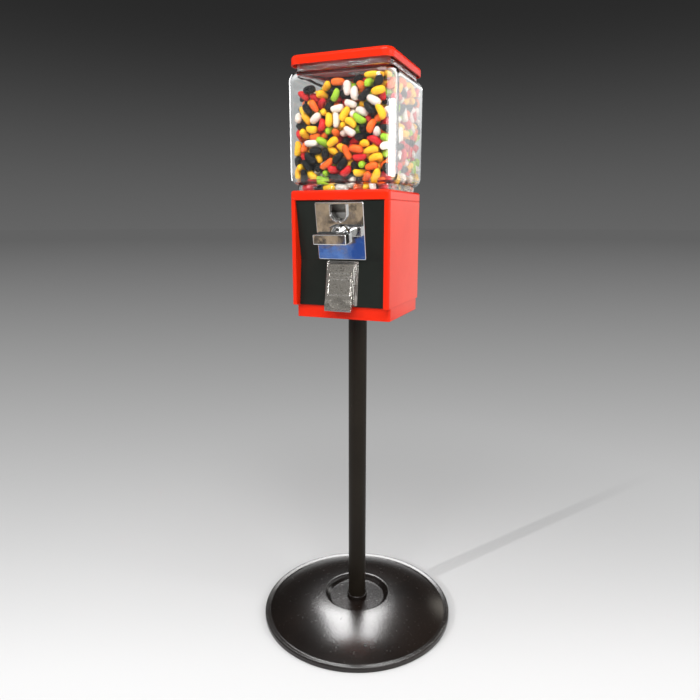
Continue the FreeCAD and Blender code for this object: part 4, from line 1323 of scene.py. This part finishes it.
@dataclass(frozen=True)
class Backdrop:
    """Soft even light, and a backdrop that is grey low down and dark above.

    Each band steps over a part of the direction: across to the right, depth to the back, or height.
    Reflections show it dark behind and paler in front, with a bright window at the right and a strip below.
    """

    shade: Band = Band(-0.12, 0.31, 0.1455, 0.022)
    light: Band = Band(0.0, 0.7, 0.36, 0.44)
    through_glass: Band = Band(0.18, 0.6, 0.12, 0.5)
    front: Band = Band(0.08, 0.30, 0.08, 0.42)
    back: Band = Band(0.0, 0.25, 0.05, 0.03)
    back_depth: Band = Band(-0.35, 0.15)
    window_depths: tuple[Band, ...] = (Band(-0.85, -0.2, 0.0, 4.0), Band(0.8, 0.946, 1.0, 0.45),
                                       Band(0.946, 0.968, 1.0, 0.2))
    window_side: Band = Band(0.20, 0.25)
    window_heights: tuple[Band, ...] = (Band(0.03, 0.06), Band(0.215, 0.235, 1.0, 0.0))
    strip_depth: Band = Band(0.0, 0.3, 1.1, 0.0)
    strip_side: Band = Band(0.05, 0.2)
    strip_heights: tuple[Band, ...] = (Band(0.03, 0.05, 1.0, 0.0), Band(-0.2, -0.16))

    def mirrored(self, across: Val, depth: Val, height: Val) -> Val:
        """What a reflection shows of the studio.

        Args:
            across: the direction's part to the right.
            depth: its part to the back.
            height: its part upwards.

        Returns:
            The tone.
        """
        front = height.ramp(self.front)
        tone = front + depth.ramp(self.back_depth) * (height.ramp(self.back) - front)
        window = across.ramp(self.window_side)
        for band in self.window_depths:
            window = window * depth.ramp(band)
        for band in self.window_heights:
            window = window * height.ramp(band)
        strip = across.ramp(self.strip_side) * depth.ramp(self.strip_depth)
        for band in self.strip_heights:
            strip = strip * height.ramp(band)
        return tone + window + strip

    def build(self) -> None:
        """Makes the world."""
        world = bpy.data.worlds.new("studio")
        bpy.context.scene.world = world
        g = Graph(world, "Generated")
        parts = g.node("ShaderNodeSeparateXYZ", None, {0: g.coordinates}).outputs
        across, depth, height = (Val(g, part) for part in parts)
        clear = g.ray("Is Transmission Ray")
        tone = height.ramp(self.light) + clear * height.ramp(self.through_glass)
        tone = tone + g.ray("Is Glossy Ray") * (1 - clear) * (self.mirrored(across, depth, height) - tone)
        tone = tone + g.ray("Is Camera Ray") * (height.ramp(self.shade) - tone)
        even = g.node("ShaderNodeBackground", None, {"Color": g.grey(tone), "Strength": 1.0}).outputs[0]
        g.node("ShaderNodeOutputWorld", None, {"Surface": even})


@dataclass
class Studio:
    """The camera, the pale floor, the backdrop and the lights."""

    eye: Eye = Eye()
    card: ReflectedCard = ReflectedCard()
    backdrop: Backdrop = Backdrop()
    low_sun: LowSun = LowSun("low_sun", 0.75)
    shadow_sun: LowSun = LowSun("shadow_sun", 0.55)
    lights: tuple[Softbox, ...] = (
        Softbox("front_top", (0.20, -0.72, 0.80), 2.0, (1.6, 1.2), 38.0),
        Softbox("fill_left", (-0.90, -0.25, 0.40), 1.8, (1.5, 1.5), 6.0, reach=Reach.LIGHT),
        Softbox("fill_right", (0.97, -0.15, 0.20), 1.6, (0.9, 1.1), 15.0, reach=Reach.LIGHT),
        Glint("glare_cabinet", (0.34, 0.94, -0.05), 1.8, (0.36, 0.6), 1.0, (0.0, 0.0, 0.68),
              colour=(1.0, 0.93, 0.82)),
        Glint("corner_strip", (0.929, -0.369, 0.0), 0.012, (0.0185, 0.112), 0.22, (0.0798, -0.0730, 0.843),
              shown_by=GLOBE),
        Glint("corner_glow", (0.929, -0.369, 0.0), 0.0115, (0.032, 0.163), 0.10, (0.0798, -0.0730, 0.868),
              shown_by=GLOBE),
        Glint("corner_left", (-0.999, 0.04, 0.0), 0.012, (0.016, 0.163), 0.04, (-0.0769, -0.0696, 0.868),
              shown_by=GLOBE),
        Glint("neck_front", (-0.31, -0.92, 0.25), 1.6, (1.2, 0.13), 9.0, (0.0, -0.08, 0.945),
              shown_by=GLOBE),
        Glint("neck_right", (0.30, 0.93, 0.25), 1.6, (0.9, 0.13), 1.2, (0.08, 0.0, 0.945),
              shown_by=GLOBE),
        Glint("edge_right", (0.978, -0.208, 0.13), 1.5, (1.6, 0.3), 24.0, (0.0, -0.08, 0.66),
              shown_by=("chute_door", "chute_frame", "coin_plate", "coin_guard", "handle")),
        Glint("top_back", (-0.205, 0.50, 0.83), 1.7, (0.68, 0.95), 44.0, (0.0, -0.09, 0.03),
              shown_by=("stand_base", "pole_foot_collar")),
    )

    def build(self, nodes: Nodes) -> None:
        """Makes the whole studio.

        Args:
            nodes: the frame's nodes, some of which show a light of their own.
        """
        self.eye.build()
        ground = PaleFloor(self.eye.azimuth).build()
        self.card.build()
        self.low_sun.build()
        self.shadow_sun.build((ground,))
        self.backdrop.build()
        for light in self.lights:
            light.build(nodes)
        bpy.context.scene.view_settings.view_transform = "Standard"


def main() -> None:
    """Builds and dresses every part in order."""
    logging.basicConfig(level=logging.INFO, format="%(name)s %(message)s")
    bpy.ops.wm.read_factory_settings(use_empty=True)
    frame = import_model()
    paint = Paintbox()
    for assembly in (Pedestal(), Cabinet(), CoinMechanism(), Chute(), FeedTrain(), GlobeTop()):
        assembly.dress(frame["nodes"], paint)
    CandyHeap().build(paint)
    Studio().build(frame["nodes"])


if __name__ == "__main__":
    main()
